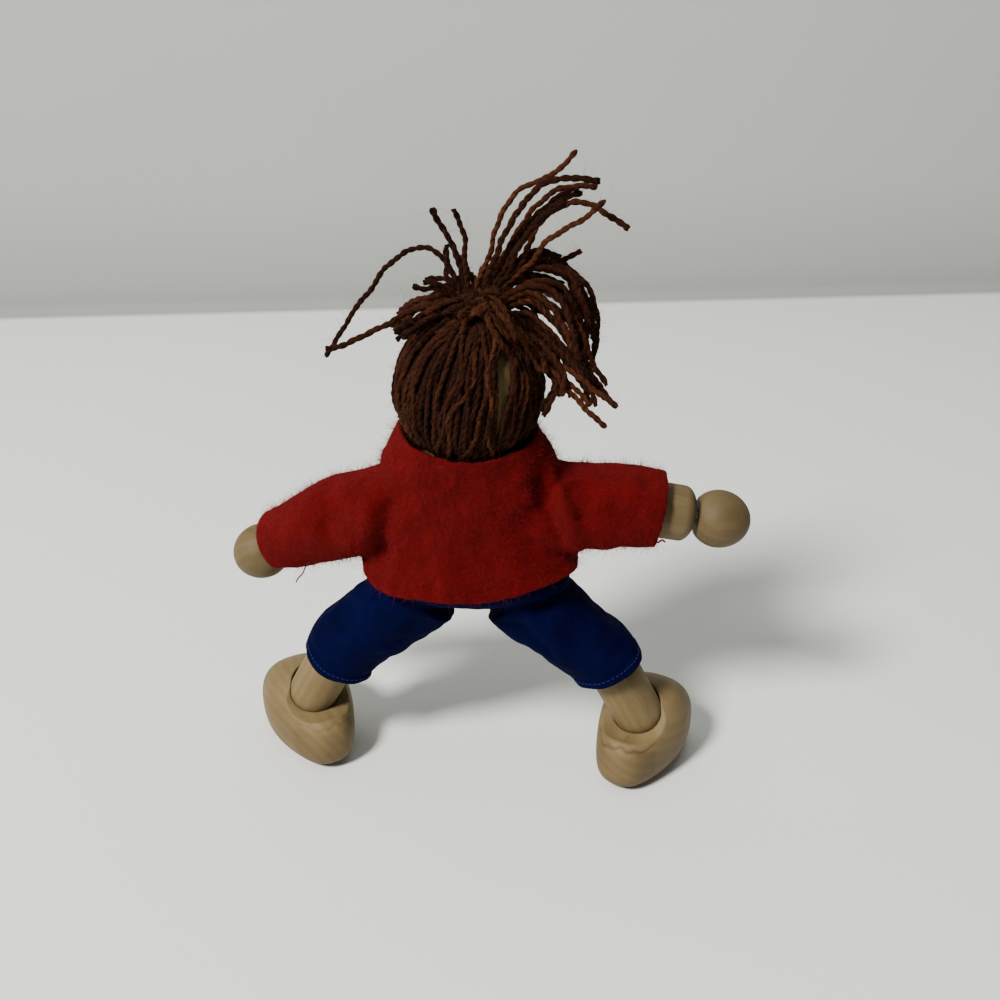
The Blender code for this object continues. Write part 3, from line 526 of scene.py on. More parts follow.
WOOD_HIDDEN = wood("wood_plain").material
FELT = felt()
FELT_FUZZ = felt_fuzz()
COTTON = cotton()
YARN = yarn_look("brown_yarn", (0.0048, 0.0012, 0.0006), (0.034, 0.0090, 0.0042), (0.108, 0.035, 0.0120))
CAP_YARN = yarn_look("brown_cap_yarn", (0.0042, 0.0011, 0.0006), (0.029, 0.0078, 0.0036),
                     (0.105, 0.038, 0.0135))
FUZZ = yarn_look("brown_fuzz", (0.030, 0.010, 0.006), (0.090, 0.036, 0.016), (0.22, 0.11, 0.05))
WIRE = plain("wire", (0.42, 0.40, 0.37), 0.42, 1.0, 4.0)
TIE_THREAD = plain("tie_thread", (0.030, 0.011, 0.006), 0.8)
RED_THREAD = plain("red_thread", (0.30, 0.006, 0.010))
BLUE_THREAD = plain("blue_thread", (0.0035, 0.0090, 0.085))
DARK_THREAD = plain("dark_thread", (0.055, 0.012, 0.010))


# Turned wood

def arc(radius, flat, height, drop, rising, steps=14):
    """Profile of a rounded bead end, as the solid's."""
    first = math.asin(flat / radius)
    full = drop / math.cos(first)
    angles = first + (math.pi / 2 - first) * np.linspace(0, 1, steps)
    points = np.column_stack([radius * np.sin(angles), height - drop + full * np.cos(angles)])
    if rising:
        points = np.column_stack([points[::-1, 0], 2 * height - points[::-1, 1]])
    return points


def lathe(name, profile, foot, way, sides=72, wobble=0.0):
    """Mesh turned about the way from foot; profile holds (radius, distance along the way)."""
    first, second = basis(way)
    angles = turns(sides)
    radii, levels = profile[:, :1], profile[:, 1:]
    out = radii * (1 + wobble * np.sin(2 * angles + levels * 0.35))
    local = np.stack([out * np.cos(angles), out * np.sin(angles), np.broadcast_to(levels, out.shape)], 2)
    verts = foot + local[..., :1] * first + local[..., 1:2] * second + local[..., 2:] * way
    faces = grid_faces(len(profile), sides, turned=True)
    return weld(make_mesh(name, verts.reshape(-1, 3), faces, {"grain": local.reshape(-1, 3)}))


def weld(mesh):
    bm = bmesh.new()
    bm.from_mesh(mesh)
    bmesh.ops.remove_doubles(bm, verts=bm.verts, dist=0.002 * 0.001)
    bmesh.ops.recalc_face_normals(bm, faces=bm.faces)
    bm.to_mesh(mesh)
    bm.free()
    return mesh


def rows_between(a, b, step=1.0):
    """Profile points between two others, without them."""
    count = max(2, int(abs(b[1] - a[1]) / step))
    return np.linspace(a, b, count + 1)[1:-1]


BORE, BEAD_FLAT, BEAD_START = 1.05, 1.35, 1.25


def bead_profile(length, diameter, drop, foot_flat, foot_drop):
    """Bored bead; each end has a flat radius and a rounded length."""
    top, foot = -BEAD_START, -BEAD_START - length
    head = arc(diameter / 2, BEAD_FLAT, top, drop, False)
    tail = arc(diameter / 2, foot_flat, foot, foot_drop, True)
    inner = np.array([[BORE, foot], [BORE, (top + foot) / 2], [BORE, top]])
    edge = [[BORE + 0.08, top]]
    return np.vstack([inner[-1:], edge, head, rows_between(head[-1], tail[0]), tail, inner])


def add_bead(kind, side, joints, sizes, shift, dark=1.0):
    """Bored bead that hangs from the first of two joints, towards the second."""
    name = f"{kind}_{side}"
    foot, further = (place_of(f"{joint}_{side}") for joint in joints)
    mesh = lathe(name, bead_profile(*sizes), foot, -unit(further - foot), wobble=0.006)
    add_piece(name + "_turned", mesh, wood("wood_" + name, shift, dark).material, name, "wood", [name])


HAND = {"radius": 5.5, "length": 10.2, "start": 0.22, "flat": 5.5 * 0.66, "bored": 6.0, "dark": 0.66}
KNOTS = {"right": (4.9, -1.0, -3.6), "left": (-4.0, 3.2, -5.0)}


def add_hand(side, shift):
    """Round hand bead with a flat inner face and one small dark knot."""
    name = "hand_" + side
    _, elbow, wrist = arm_line(side)
    top, middle = -HAND["start"], HAND["length"] * 0.40
    head = arc(HAND["radius"], HAND["flat"], top, middle, False, 22)
    tail = arc(HAND["radius"], 0.001, top - HAND["length"], HAND["length"] - middle, True, 26)
    bore = [[0.001, top - HAND["bored"] - 0.6], [BORE, top - HAND["bored"]], [BORE, top]]
    face = [[BORE + 0.15, top], [HAND["flat"] - 0.25, top]]
    shader = wood("wood_" + name, shift, HAND["dark"])
    knot_on(shader, KNOTS[side], 0.42)
    mesh = lathe(name, np.vstack([bore, face, head, tail[1:]]), wrist, -unit(wrist - elbow), wobble=0.004)
    add_piece(name + "_turned", mesh, shader.material, name, "wood", [name])


def knot_on(shader, place, size):
    """Small dark fleck at a place of the piece's own grain coordinates."""
    old = shader.base_colour()
    reach = shader.node("VectorMath", operation="DISTANCE")
    shader.tree.links.new(shader.layer("grain"), reach.inputs[0])
    reach.inputs[1].default_value = place
    share = shader.sum("DIVIDE", reach.outputs["Value"], size)
    spot = shader.ramp(share, [(0.35, WHITE), (1.0, BLACK)])
    shader.colour(shader.mix(spot, old, (0.05, 0.022, 0.012)))


FOREARM = (12.6, 10.6, 10.6 * 0.32, 2.5, 2.5)
SHIN_ROUND = math.sqrt(5.1 ** 2 - BEAD_FLAT ** 2)
SHIN = (19.2, 10.2, SHIN_ROUND, BEAD_FLAT, SHIN_ROUND)

for side, tone in (("right", 30.0), ("left", 75.0)):
    add_bead("forearm", side, ("elbow_bend", "wrist_bend"), FOREARM, (tone, 4, 0), 0.72)
    add_hand(side, (tone, 40, 8))
    add_bead("shin", side, ("knee_bend", "ankle_bend"), SHIN, (tone, 90, 3))

for name in ("torso_block", "neck_dowel", "upper_arm_right", "upper_arm_left", "thigh_right", "thigh_left"):
    node = frame["nodes"][name]
    node.data.materials.clear()
    node.data.materials.append(WOOD_HIDDEN)


# Head

def add_head():
    """Ball with its neck hole, painted with two dot eyes, round cheeks and a plain smile."""
    hole_radius, hole_top = 3.3, -HEAD_RADIUS + 6.0
    angles = np.linspace(0.0005, math.pi - math.asin(hole_radius / HEAD_RADIUS), 90)
    ball = np.column_stack([HEAD_RADIUS * np.sin(angles), HEAD_RADIUS * np.cos(angles)])
    shader = wood("wood_head", (12, 60, 20))
    paint_face(shader)
    profile = np.vstack([ball, [[hole_radius, hole_top], [0.001, hole_top]]])
    mesh = lathe("head_ball", profile, HEAD, np.array([0, 0, 1.0]), 128)
    add_piece("head_ball_turned", mesh, shader.material, "head", "wood", ["head_ball"])


CHEEKS, EYES, SMILE = (5.75, -5.6, 2.3, 2.0), (3.6, -1.2, 0.85, 1.05), (0.0, -3.4, 3.6, 3.6)


def paint_face(shader):
    """The grain coordinates turn with the lathe: x is forwards and y is to the doll's left."""
    old = shader.base_colour()
    split = shader.node("SeparateXYZ")
    shader.tree.links.new(shader.layer("grain"), split.inputs[0])
    forwards, leftwards, up = split.outputs
    front = shader.sum("GREATER_THAN", forwards, 1.0)

    def reach(left, high, wide, tall):
        a = shader.sum("DIVIDE", shader.sum("SUBTRACT", leftwards, left), wide)
        b = shader.sum("DIVIDE", shader.sum("SUBTRACT", up, high), tall)
        return shader.sum("SQRT", shader.plus(shader.times(a, a), shader.times(b, b)))

    def spots(old, place, soft, share, colour):
        for turned in (-1, 1):
            spot = shader.ramp(reach(turned * place[0], *place[1:]), [(1 - soft, WHITE), (1.0, BLACK)])
            old = shader.mix(shader.times(shader.times(spot, front), share), old, colour)
        return old

    old = spots(old, CHEEKS, 0.9, 0.28, (0.55, 0.10, 0.07))
    old = spots(old, EYES, 0.08, 1.0, (0.008, 0.006, 0.006))
    off_line = shader.sum("ABSOLUTE", shader.sum("SUBTRACT", reach(*SMILE), 1.0))
    line = shader.sum("LESS_THAN", off_line, 0.075)
    mouth = shader.times(shader.times(line, shader.sum("LESS_THAN", up, -5.4)), front)
    shader.colour(shader.mix(mouth, old, (0.30, 0.012, 0.012)))


add_head()


# Shoes

def smooth_share(way):
    return way * way * (3 - 2 * way)


SHOE = {"length": 27.5, "heel": 11.0, "width": 18.4, "height": 17.8, "ankle": 14.0, "power": 2.5, "end": 0.62}
SINK, BALL_PLACE = 0.09, 0.64
SEAT_RADIUS, SEAT_REACH = 5.11, 17
LEDGE_RADIUS, LEDGE_BACK, LEDGE_HEIGHT = 7.5, 6.0, 11.4
LEDGE = LEDGE_HEIGHT - SHOE["ankle"]
SHOE_SHIFT = {"right": (12, 31, 7), "left": (50, 31, 7)}
CREASE_SHARE = {"right": 1.0, "left": 0.45}


def shoe_share(place, heel, toe):
    """Share of the full size along the shoe: heel at its end, 1 at the ball and toe at the tip."""
    behind = smooth_share(np.clip(place / BALL_PLACE, 0, 1))
    before = smooth_share(np.clip((1 - place) / (1 - BALL_PLACE), 0, 1))
    return np.where(place < BALL_PLACE, heel + (1 - heel) * behind, toe + (1 - toe) * before)


def shoe_grid(rings=110, sides=144):
    """The clog's form on a fine grid, in its own space: heel towards -y, ankle centre at the origin."""
    place = (1 - np.cos(np.linspace(0.001, math.pi - 0.001, rings)))[:, None] / 2
    fullness = np.clip(1 - (2 * place - 1) ** 2, 0, 1) ** (SHOE["end"] / 2)
    half_width = SHOE["width"] / 2 * shoe_share(place, 0.74, 1)
    half_height = SHOE["height"] * (1 + SINK) / 2 * shoe_share(place, 0.80, 0.92)
    across, up = (rounded(part(turns(sides)), SHOE["power"]) for part in (np.cos, np.sin))
    x = half_width * fullness * across
    y = np.broadcast_to(SHOE["length"] * place - SHOE["heel"], x.shape)
    z = half_height - SHOE["height"] * SINK + half_height * fullness * up
    verts = np.stack([x, y, np.maximum(z, 0.0) - SHOE["ankle"]], 2)
    return verts.reshape(-1, 3), capped_faces(rings, sides)


def cutter(bm, matrix=Matrix()):
    bm.transform(Matrix.Scale(0.001, 4) @ matrix)
    mesh = bpy.data.meshes.new("cutter")
    bm.to_mesh(mesh)
    bm.free()
    thing = bpy.data.objects.new("cutter", mesh)
    bpy.context.scene.collection.objects.link(thing)
    return thing


def ledge_cutter():
    """Bar across the shoe that scoops the ledge behind its seat."""
    matrix = Matrix.Translation((0, -LEDGE_BACK, LEDGE + LEDGE_RADIUS)) @ Matrix.Rotation(math.pi / 2, 4, "Y")
    bm = bmesh.new()
    bmesh.ops.create_cone(bm, cap_ends=True, segments=160, depth=40,
                          radius1=LEDGE_RADIUS, radius2=LEDGE_RADIUS)
    return cutter(bm, matrix)


def seat_cutter(shin):
    """Room for the shin's foot: a round bottom with two ways out, along the shin and leant forwards."""
    upright = Vector((0, 0, 1)).rotation_difference(Vector(shin)).to_matrix()
    leant = Matrix.Rotation(math.radians(-25), 3, "X") @ upright
    bm = bmesh.new()
    bm.verts.new((0, 0, -SEAT_RADIUS))
    for tilt in np.radians(np.arange(0, 90, 4)):
        out, down = SEAT_RADIUS * math.cos(tilt), -SEAT_RADIUS * math.sin(tilt)
        for turn in turns(128):
            bm.verts.new(upright @ Vector((out * math.cos(turn), out * math.sin(turn), down)))
    for way in (upright, leant):
        for turn in turns(128):
            top = (SEAT_RADIUS * math.cos(turn), SEAT_RADIUS * math.sin(turn), SEAT_REACH)
            bm.verts.new(way @ Vector(top))
    hull = bmesh.ops.convex_hull(bm, input=bm.verts)
    bmesh.ops.delete(bm, geom=hull["geom_interior"], context="VERTS")
    return cutter(bm)


def shoe_skin(shin):
    """The clog cut by its ledge and seat, remeshed and smoothed, with a flat sole."""
    tools = [ledge_cutter(), seat_cutter(shin)]
    steps = [("BOOLEAN", {"object": tool, "operation": "DIFFERENCE", "solver": "EXACT"}) for tool in tools]
    verts, faces = evaluated(make_mesh("shoe", *shoe_grid()), steps + [remesh(0.00022), smooth(0.5, 6)])
    for tool in tools:
        bpy.data.objects.remove(tool)
    sole = -SHOE["ankle"]
    verts[:, 2] = np.where(verts[:, 2] < sole + 0.15, sole, verts[:, 2])
    return verts, faces


def add_shoe(side):
    """Clog with its round seat, a thin lip round the seat and a soft scooped ledge behind it."""
    _, knee, ankle = leg_line(side)
    across = unit(np.array(JOINTS["ankle_bend_" + side]["axis"]) * (1, 1, 0))
    turn = np.column_stack([across, np.cross([0, 0, 1.0], across), [0, 0, 1.0]])
    verts, faces = shoe_skin(turn.T @ unit(knee - ankle))
    x, y, z = verts.T
    wave = 0.30 * np.sin(x * 0.9 + 1.0) + 0.18 * np.sin(x * 2.3)
    behind = np.clip((-4.0 - y) / 1.5, 0, 1)
    crease_line = np.exp(-((z - LEDGE + 0.75 - wave) / 0.30) ** 2) * behind * CREASE_SHARE[side]
    low = np.clip((LEDGE - 0.8 - z) / 1.2, 0, 1) * behind
    verts[:, 1] += 0.13 * crease_line
    shader = wood("wood_shoe_" + side, SHOE_SHIFT[side])
    # Painted shade along the crease under the ledge, and darker end grain on the heel below the ledge,
    # multiplied into the wood's colour.
    darken(shader, "crease_shade_and_end_grain", (0.50, 0.40, 0.31))
    layers = {"grain": verts[:, [0, 2, 1]], "crease_shade_and_end_grain": np.clip(0.75 * crease_line + 0.30 * low, 0, 1)}
    mesh = make_mesh("shoe_" + side, ankle + verts @ turn.T, faces, layers)
    add_piece(f"shoe_{side}_turned", mesh, shader.material, "shoe_" + side, "wood", ["shoe_" + side])


def darken(shader, layer, tint):
    """Multiply a shader's colour by a tint where a layer of the mesh says so."""
    old = shader.base_colour()
    shader.colour(shader.mix(shader.layer(layer, "Fac"), old, shader.mix(1.0, old, tint, "MULTIPLY")))


for side in SIDES:
    add_shoe(side)


# Wires, one run for each joint that they cross

WIRE_RADIUS, SHORTEST_RUN = 0.75, 0.05
WIRE_CHAINS = {
    "arm": (("torso", "arm_link", "shoulder_lift", 0.7), ("arm_link", "upper_arm", "shoulder_swing", 0.7),
            ("upper_arm", "forearm", "elbow_bend", 1.2), ("forearm", "hand", "wrist_bend", 0.3)),
    "leg": (("torso", "leg_link", "hip_swing", 0.8), ("leg_link", "thigh", "hip_spread", 0.8),
            ("thigh", "shin", "knee_bend", 1.2), ("shin", "shoe", "ankle_bend", 1.2)),
}


def wire_path(start, joints, end):
    """Wire through the joints with a soft corner at each; joints in one place count once."""
    shown = [start]
    for point in joints:
        if np.linalg.norm(point - shown[-1]) > SHORTEST_RUN:
            shown.append(point)
    shown.append(end)
    path = [start]
    for before, corner, after in zip(shown, shown[1:], shown[2:]):
        path += [corner + unit(before - corner), corner, corner + unit(after - corner)]
    return curve_through(path + [end], 0.35)


def add_wire(limb, side, start, end):
    """Wire of a limb; its chain lists (body before, body after, joint, half length bent)."""
    chain = WIRE_CHAINS[limb]
    joints = [place_of(f"{joint}_{side}") for _, _, joint, _ in chain]
    path = wire_path(start, joints, end)
    travelled = run_along(path)
    stations = [travelled[np.argmin(np.linalg.norm(path - joint, axis=1))] for joint in joints]
    stations[1] += 0.001
    middles = [(a + b) / 2 for a, b in zip(stations[1:], stations[2:])]
    limits = [0.0, stations[0], *middles, travelled[-1]]
    for number, (before, after, _, half) in enumerate(chain):
        keep = (travelled >= limits[number] - 1e-6) & (travelled <= limits[number + 1] + 1e-6)
        run = path[keep]
        heap = Heap()
        heap.tube(run, WIRE_RADIUS, 14)
        piece = heap.add(f"{limb}_wire_{side}_{number}", WIRE, None, "steel_wire")
        near, far = ((-2 * half, -0.05), (0.05, 2 * half), (-half, half), (-half, half))[number]
        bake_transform(piece)
        if number < 2:
            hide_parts(f"{limb}_wire_{side}")


for side, sign in SIDES.items():
    shoulder, elbow, wrist = arm_line(side)
    add_wire("arm", side, shoulder + (-sign * 9.5, 0, 0), wrist + unit(wrist - elbow) * 6.2)
    hip, knee, ankle = leg_line(side)
    add_wire("leg", side, hip + (0, 0, 9.7), ankle + unit(ankle - knee) * 9.0)


# Hair

YARN_RADIUS = 0.58
LONE_STRANDS = (0, 1)
YARN_PITCH = 3.3
CAP_RADIUS = 13.35
FIRST, SECOND = basis(CROWN, (1, 0, 0))
PARTED_FROM, PARTED_TO = -7.0, 10.5
CHIN = -12.7
GATHERING = ((3.3, 13.4), (2.1, 14.6), (1.75, 15.5), (1.7, 16.4))


def crown_point(out, angle, up):
    """Point at a distance out from the crown's axis, a turn about it and a height over the head's centre."""
    return HEAD + CROWN * up + (FIRST * math.cos(angle) + SECOND * math.sin(angle)) * out


def on_ball(radius, polar, angle):
    """Point at a radius from the head's centre, given by its tilt from the crown and its turn."""
    return crown_point(radius * math.sin(polar), angle, radius * math.cos(polar))


def in_face(point):
    local = point - HEAD
    return local[1] > 1.2 and (local[0] / 8.9) ** 2 + ((local[2] + 4.5) / 9.7) ** 2 < 1


def parting(height):
    """Middle and half width of the bare parting down the back, at a height over the head's centre."""
    middle = 6.15 + 0.10 * (height - 4)
    if height > -1:
        closing = min(1.0, max(0.0, (9.8 - height) / 1.2))
        return middle, 1.35 * closing * (0.45 + 0.55 * (height + 1) / 9)
    return middle, 0.65 * max(0.0, (height - PARTED_FROM) / 6.0)


def part_hair(points):
    """Move a yarn of the cap to one side of the parting, and keep it on the head."""
    local = np.array(points) - HEAD
    back = (local[:, 1] < 0) & (local[:, 2] > PARTED_FROM) & (local[:, 2] < PARTED_TO)
    if not back.any():
        return list(points)
    spots = [parting(height) for height in local[:, 2]]
    aside = local[:, 0] - [middle for middle, _ in spots]
    way = 1 if aside[back].mean() > 0 else -1
    need = np.array([width for _, width in spots]) + 0.42
    gap = way * aside
    beyond = np.log1p(np.exp(np.clip((gap - need) / 0.5, -30, 30))) * 0.5
    eased = np.where(back, need + beyond, gap)
    radius = np.linalg.norm(local, axis=1)
    local[:, 0] += way * (eased - gap) * back
    local *= (radius / np.linalg.norm(local, axis=1))[:, None]
    return list(HEAD + local)


def cap_points(angle, radius, spread):
    """One yarn's places from the gathering down, and whether the face's edge stops it."""
    sway, wave = RNG.uniform(-1, 1) * spread, RNG.uniform(0, 6.3)
    lift = RNG.uniform(0, 0.30)
    points = []
    for polar in np.radians(np.arange(22, 168, 4)):
        bent = angle + sway * math.sin(polar * 2.2 + wave) + 0.35 * sway * math.sin(polar * 7.0 - wave)
        gathered = 0.9 * math.exp(-(math.degrees(polar) - 22) / 14)
        out = radius + lift + gathered + 0.14 * math.sin(polar * 9 + wave)
        point = on_ball(out, polar, bent)
        if (point - HEAD)[2] < CHIN or in_face(point):
            break
        points.append(point)
    return points, in_face(point)


def cap_strands(heap, count, radius, spread, start_angle, tones, size):
    """Yarns laid up the head from the nape, the jaw and the brow to the tie."""
    for number in range(count):
        angle = start_angle + 2 * math.pi * (number + RNG.uniform(-0.25, 0.25)) / count
        points, ends_in_face = cap_points(angle, radius, spread)
        if len(points) < 3:
            continue
        points = part_hair(points)
        if not ends_in_face:
            low = points[-1]
            points.append(low + (HEAD * (1, 1, 0) + (0, 0, low[2]) - low) * 0.20 + (0, 0, -0.30))
        gather = [crown_point(out, angle, up) for out, up in GATHERING]
        path = curve_through(points[::-1] + gather, 0.34)
        thickness, pitch = size * RNG.uniform(0.9, 1.1), YARN_PITCH * RNG.uniform(0.9, 1.2)
        heap.yarn(path, thickness, pitch, RNG.uniform(*tones), RNG.uniform(0, 6.3), sides=5, twist=0.30)


def add_cap_lining():
    """Sheet in the yarn's darkest tone under the cap, painted shade for the gaps between the yarns, open over
    the face and along the parting.
    """
    rows, sides, outer = 120, 200, HEAD_RADIUS + 0.62
    tilts = [math.radians(3 + 161 * row / rows) for row in range(rows + 1)]
    verts = np.array([on_ball(outer, tilt, 2 * math.pi * side / sides)
                      for tilt in tilts for side in range(sides)])
    keep = []
    for face in grid_faces(rows + 1, sides, turned=True):
        local = verts[list(face)].mean(axis=0) - HEAD
        middle, width = parting(local[2])
        parted = local[1] < 0 and PARTED_FROM < local[2] < PARTED_TO
        if not (parted and abs(local[0] - middle) < width + 0.1 or in_face(local + HEAD)):
            keep.append(face)
    # Painted shade: the whole sheet takes the yarn's darkest tone.
    shades = {"along": verts[:, 2] * 0.3, "tone": np.full(len(verts), 0.12)}
    add_piece("hair_shade_lining", make_mesh("hair_shade_lining", verts, keep, shades), CAP_YARN, "head", "brown_yarn")


STRANDS = (
    (2.5, ((461, 287), (445, 260), (428, 247), (411, 249), (390, 264), (373, 285), (356, 308), (342, 331),
           (326, 357))),
    (-3.0, ((457, 302), (436, 304), (405, 313), (384, 325), (363, 336), (342, 346), (325, 349))),
    (1.5, ((467, 287), (457, 258), (447, 235), (436, 218), (432, 208))),
    (-2.5, ((468, 285), (465, 258), (465, 237), (459, 222), (453, 209))),
    (5.0, ((449, 283), (447, 266), (447, 245))),
    (-2.0, ((457, 296), (436, 287), (424, 289), (413, 285))),
    (3.0, ((458, 300), (441, 296), (420, 300), (404, 312))),
    (-4.5, ((452, 306), (432, 310), (412, 322), (395, 334))),
    (8.0, ((452, 303), (428, 300), (411, 315), (396, 330))),
    (-6.0, ((455, 312), (436, 316), (418, 326), (402, 338))),
    (2.5, ((476, 285), (489, 258), (495, 230), (508, 205), (523, 188), (541, 180), (562, 167), (576, 150))),
    (-2.0, ((485, 285), (499, 249), (510, 224), (527, 199), (546, 182), (573, 178), (600, 181))),
    (4.5, ((493, 283), (508, 250), (521, 226), (538, 204), (556, 191), (577, 186), (597, 187))),
    (0.5, ((499, 279), (514, 252), (529, 231), (547, 211), (564, 199), (582, 193))),
    (7.5, ((508, 273), (512, 249), (529, 224), (548, 205), (569, 190), (584, 185))),
    (-3.5, ((507, 275), (517, 250), (533, 228), (551, 212), (566, 203))),
    (1.0, ((520, 264), (533, 235), (548, 214), (569, 203), (590, 205), (609, 216), (628, 229))),
    (-2.0, ((531, 262), (544, 243), (562, 230), (584, 218), (605, 201))),
    (4.0, ((523, 270), (541, 264), (560, 262), (581, 250))),
    (9.5, ((500, 283), (520, 262), (538, 252), (562, 262), (572, 275))),
    (4.0, ((499, 291), (531, 268), (562, 273), (581, 287), (592, 315), (594, 340), (592, 361))),
    (7.0, ((503, 287), (533, 264), (563, 267), (586, 284), (597, 312), (597, 336), (595, 352))),
    (1.0, ((499, 298), (533, 283), (558, 285), (573, 302), (581, 325), (586, 353))),
    (-2.0, ((500, 300), (530, 288), (553, 293), (568, 311), (577, 338), (584, 366))),
    (-1.5, ((499, 306), (531, 296), (552, 306), (571, 325), (581, 353), (594, 378), (613, 405))),
    (-4.0, ((500, 309), (529, 302), (548, 315), (566, 338), (580, 364), (595, 386), (607, 401))),
    (-5.5, ((499, 319), (533, 325), (554, 344), (575, 367), (590, 388), (596, 406))),
    (-4.5, ((497, 314), (528, 314), (549, 330), (566, 350), (580, 372), (588, 392))),
    (-7.5, ((495, 325), (520, 342), (541, 367), (567, 388), (586, 409), (605, 428))),
    (-7.0, ((497, 330), (524, 347), (548, 371), (554, 388), (541, 411))),
    (-6.5, ((497, 322), (527, 334), (549, 352), (564, 376), (562, 397))),
    (-3.0, ((500, 303), (526, 292), (545, 299), (560, 318), (570, 345), (566, 368))),
    (5.5, ((497, 294), (524, 279), (549, 282), (566, 297), (575, 320), (578, 344))),
    (-6.0, ((492, 318), (512, 326), (530, 342), (541, 357), (546, 372))),
    (3.0, ((497, 289), (522, 271), (547, 270), (568, 279), (580, 298), (588, 322), (586, 345))),
)

BACK_STRANDS = (
    (-9.0, 9.5, -7.5, 4.5), (-4.0, 12.0, -4.0, 5.5), (2.5, 13.5, -3.0, 6.0), (8.5, 11.5, -5.0, 6.5),
    (13.0, 9.5, -8.0, 8.0), (-12.5, 5.5, -9.0, 6.0), (5.0, 9.0, 6.0, 4.0), (-4.5, 8.0, 5.5, 3.5),
    (11.0, 13.0, -11.0, 9.0), (-7.5, 13.0, -10.0, 7.5), (0.5, 15.5, -9.5, 8.0), (6.0, -9.5, -4.5, 4.0),
    (16.0, 6.0, -3.0, 7.0), (14.5, 3.0, 1.5, 5.0), (-9.5, 2.0, 2.5, 3.5), (3.5, -7.5, 3.5, 3.0),
)


def on_cap(x, y, lift):
    """Point over the cap's yarn, seen at a place of the photograph."""
    way = unit(ray(x, y))
    to_head = HEAD - EYE
    along = way @ to_head
    miss = to_head @ to_head - along ** 2
    reach = (CAP_RADIUS + lift) ** 2
    return EYE + way * (along - math.sqrt(max(reach - miss, 0)))


LYING = (
    ((474, 297), (455, 300), (437, 307), (420, 317), (405, 330), (397, 341)),
    ((470, 296), (450, 296), (430, 301), (411, 311), (396, 323)),
    ((487, 305), (500, 314), (513, 327), (524, 342), (533, 358), (540, 372)),
    ((490, 303), (505, 309), (521, 320), (535, 334), (547, 350), (556, 367)),
    ((492, 300), (508, 303), (526, 311), (542, 324), (556, 341), (567, 360)),
    ((486, 308), (496, 322), (508, 336), (520, 350), (530, 366)),
    ((489, 306), (503, 318), (519, 331), (534, 346), (548, 362), (559, 380)),
    ((493, 298), (510, 299), (530, 305), (548, 317), (563, 334), (575, 353)),
    ((484, 309), (490, 324), (499, 340), (510, 354), (519, 366)),
    ((482, 302), (490, 312), (502, 324), (517, 334), (533, 344), (549, 357)),
    ((494, 296), (512, 293), (533, 296), (552, 306), (568, 322), (580, 342)),
    ((480, 299), (476, 290), (462, 288), (444, 297), (428, 311)),
    ((486, 299), (492, 290), (506, 288), (522, 296), (538, 309)),
    ((461, 330), (460, 318), (468, 308), (480, 304), (492, 309), (499, 321)),
    ((452, 314), (466, 305), (482, 303), (496, 308), (507, 319), (514, 331)),
    ((470, 323), (477, 313), (488, 311), (498, 319), (505, 331)),
    ((478, 300), (464, 304), (450, 310), (436, 316), (424, 322)),
    ((496, 300), (486, 306), (474, 312), (466, 321), (462, 332)),
)


def strand_paths():
    """Paths of the loose yarns: those seen on the photograph, with company, and then the front's."""
    paths = []
    for number, (forwards, pixels) in enumerate(STRANDS):
        shares = np.linspace(0.12, 1, len(pixels))
        points = [seen(x, y, TIE[1] + forwards * share) for (x, y), share in zip(pixels, shares)]
        paths.append(points)
        low = pixels[-1][1] > 255 and number not in LONE_STRANDS
        for _ in range(2 if low else 0):
            shift = RNG.normal(size=3) * (1.7, 1.6, 1.3)
            count = max(3, int(round(len(points) * RNG.uniform(0.78, 1.0))))
            paths.append([point + shift * share for point, share in zip(points[:count], shares)])
    for pixels in LYING:
        lift = RNG.uniform(0.5, 1.6)
        points = []
        for share, (x, y) in zip(np.linspace(0, 1, len(pixels)), pixels):
            points.append(on_cap(x, y, lift + 2.6 * math.sin(math.pi * min(1, share * 1.2 + 0.1))))
        paths.append(points[1:])
    for right, forwards, up, rise in BACK_STRANDS:
        points = []
        for share in (0.25, 0.5, 0.75, 1.0):
            tip = np.array([right, forwards, up * share]) * share
            points.append(TIE + CROWN * 1.5 + tip + (0, 0, rise * 2.4 * share * (1 - share)))
        paths.append(points)
    return paths


def add_cap():
    cap = Heap()
    cap_strands(cap, 70, HEAD_RADIUS + 0.80, 0.07, 0.1, (0.15, 0.60), 0.52)
    cap_strands(cap, 52, HEAD_RADIUS + 1.20, 0.16, 0.4, (0.25, 0.90), 0.47)
    cap.add("hair_cap_yarn", CAP_YARN, "head", "brown_yarn", ["hair_cap"])
    return cap


def add_tuft():
    """Loose yarns that start in the gathered bundle, bend out of the tie and wander a little."""
    tuft = Heap()
    for points in strand_paths():
        out = points[-1] - TIE
        out = out - CROWN * (out @ CROWN)
        side = unit(out + RNG.normal(size=3) * 2.0)
        side = side - CROWN * (side @ CROWN)
        roots = [TIE - CROWN * 1.2 + side * 1.1, TIE + side * 1.0, TIE + CROWN * 1.6 + side * 1.5]
        path = curve_through(roots + list(points), 0.32)
        path = path + wander(path, 0.35, 0.32) * np.clip(np.linspace(0, 3, len(path)), 0, 1)[:, None]
        thickness, pitch = YARN_RADIUS * RNG.uniform(0.84, 1.02), YARN_PITCH * RNG.uniform(0.85, 1.1)
        tuft.yarn(path, thickness, pitch, RNG.uniform(0.22, 0.88), RNG.uniform(0, 6.3),
                  fray=RNG.uniform(0.3, 0.9), twist=0.33)
    tuft.add("hair_tuft_yarn", YARN, "head", "brown_yarn", ["hair_tuft"])
    return tuft


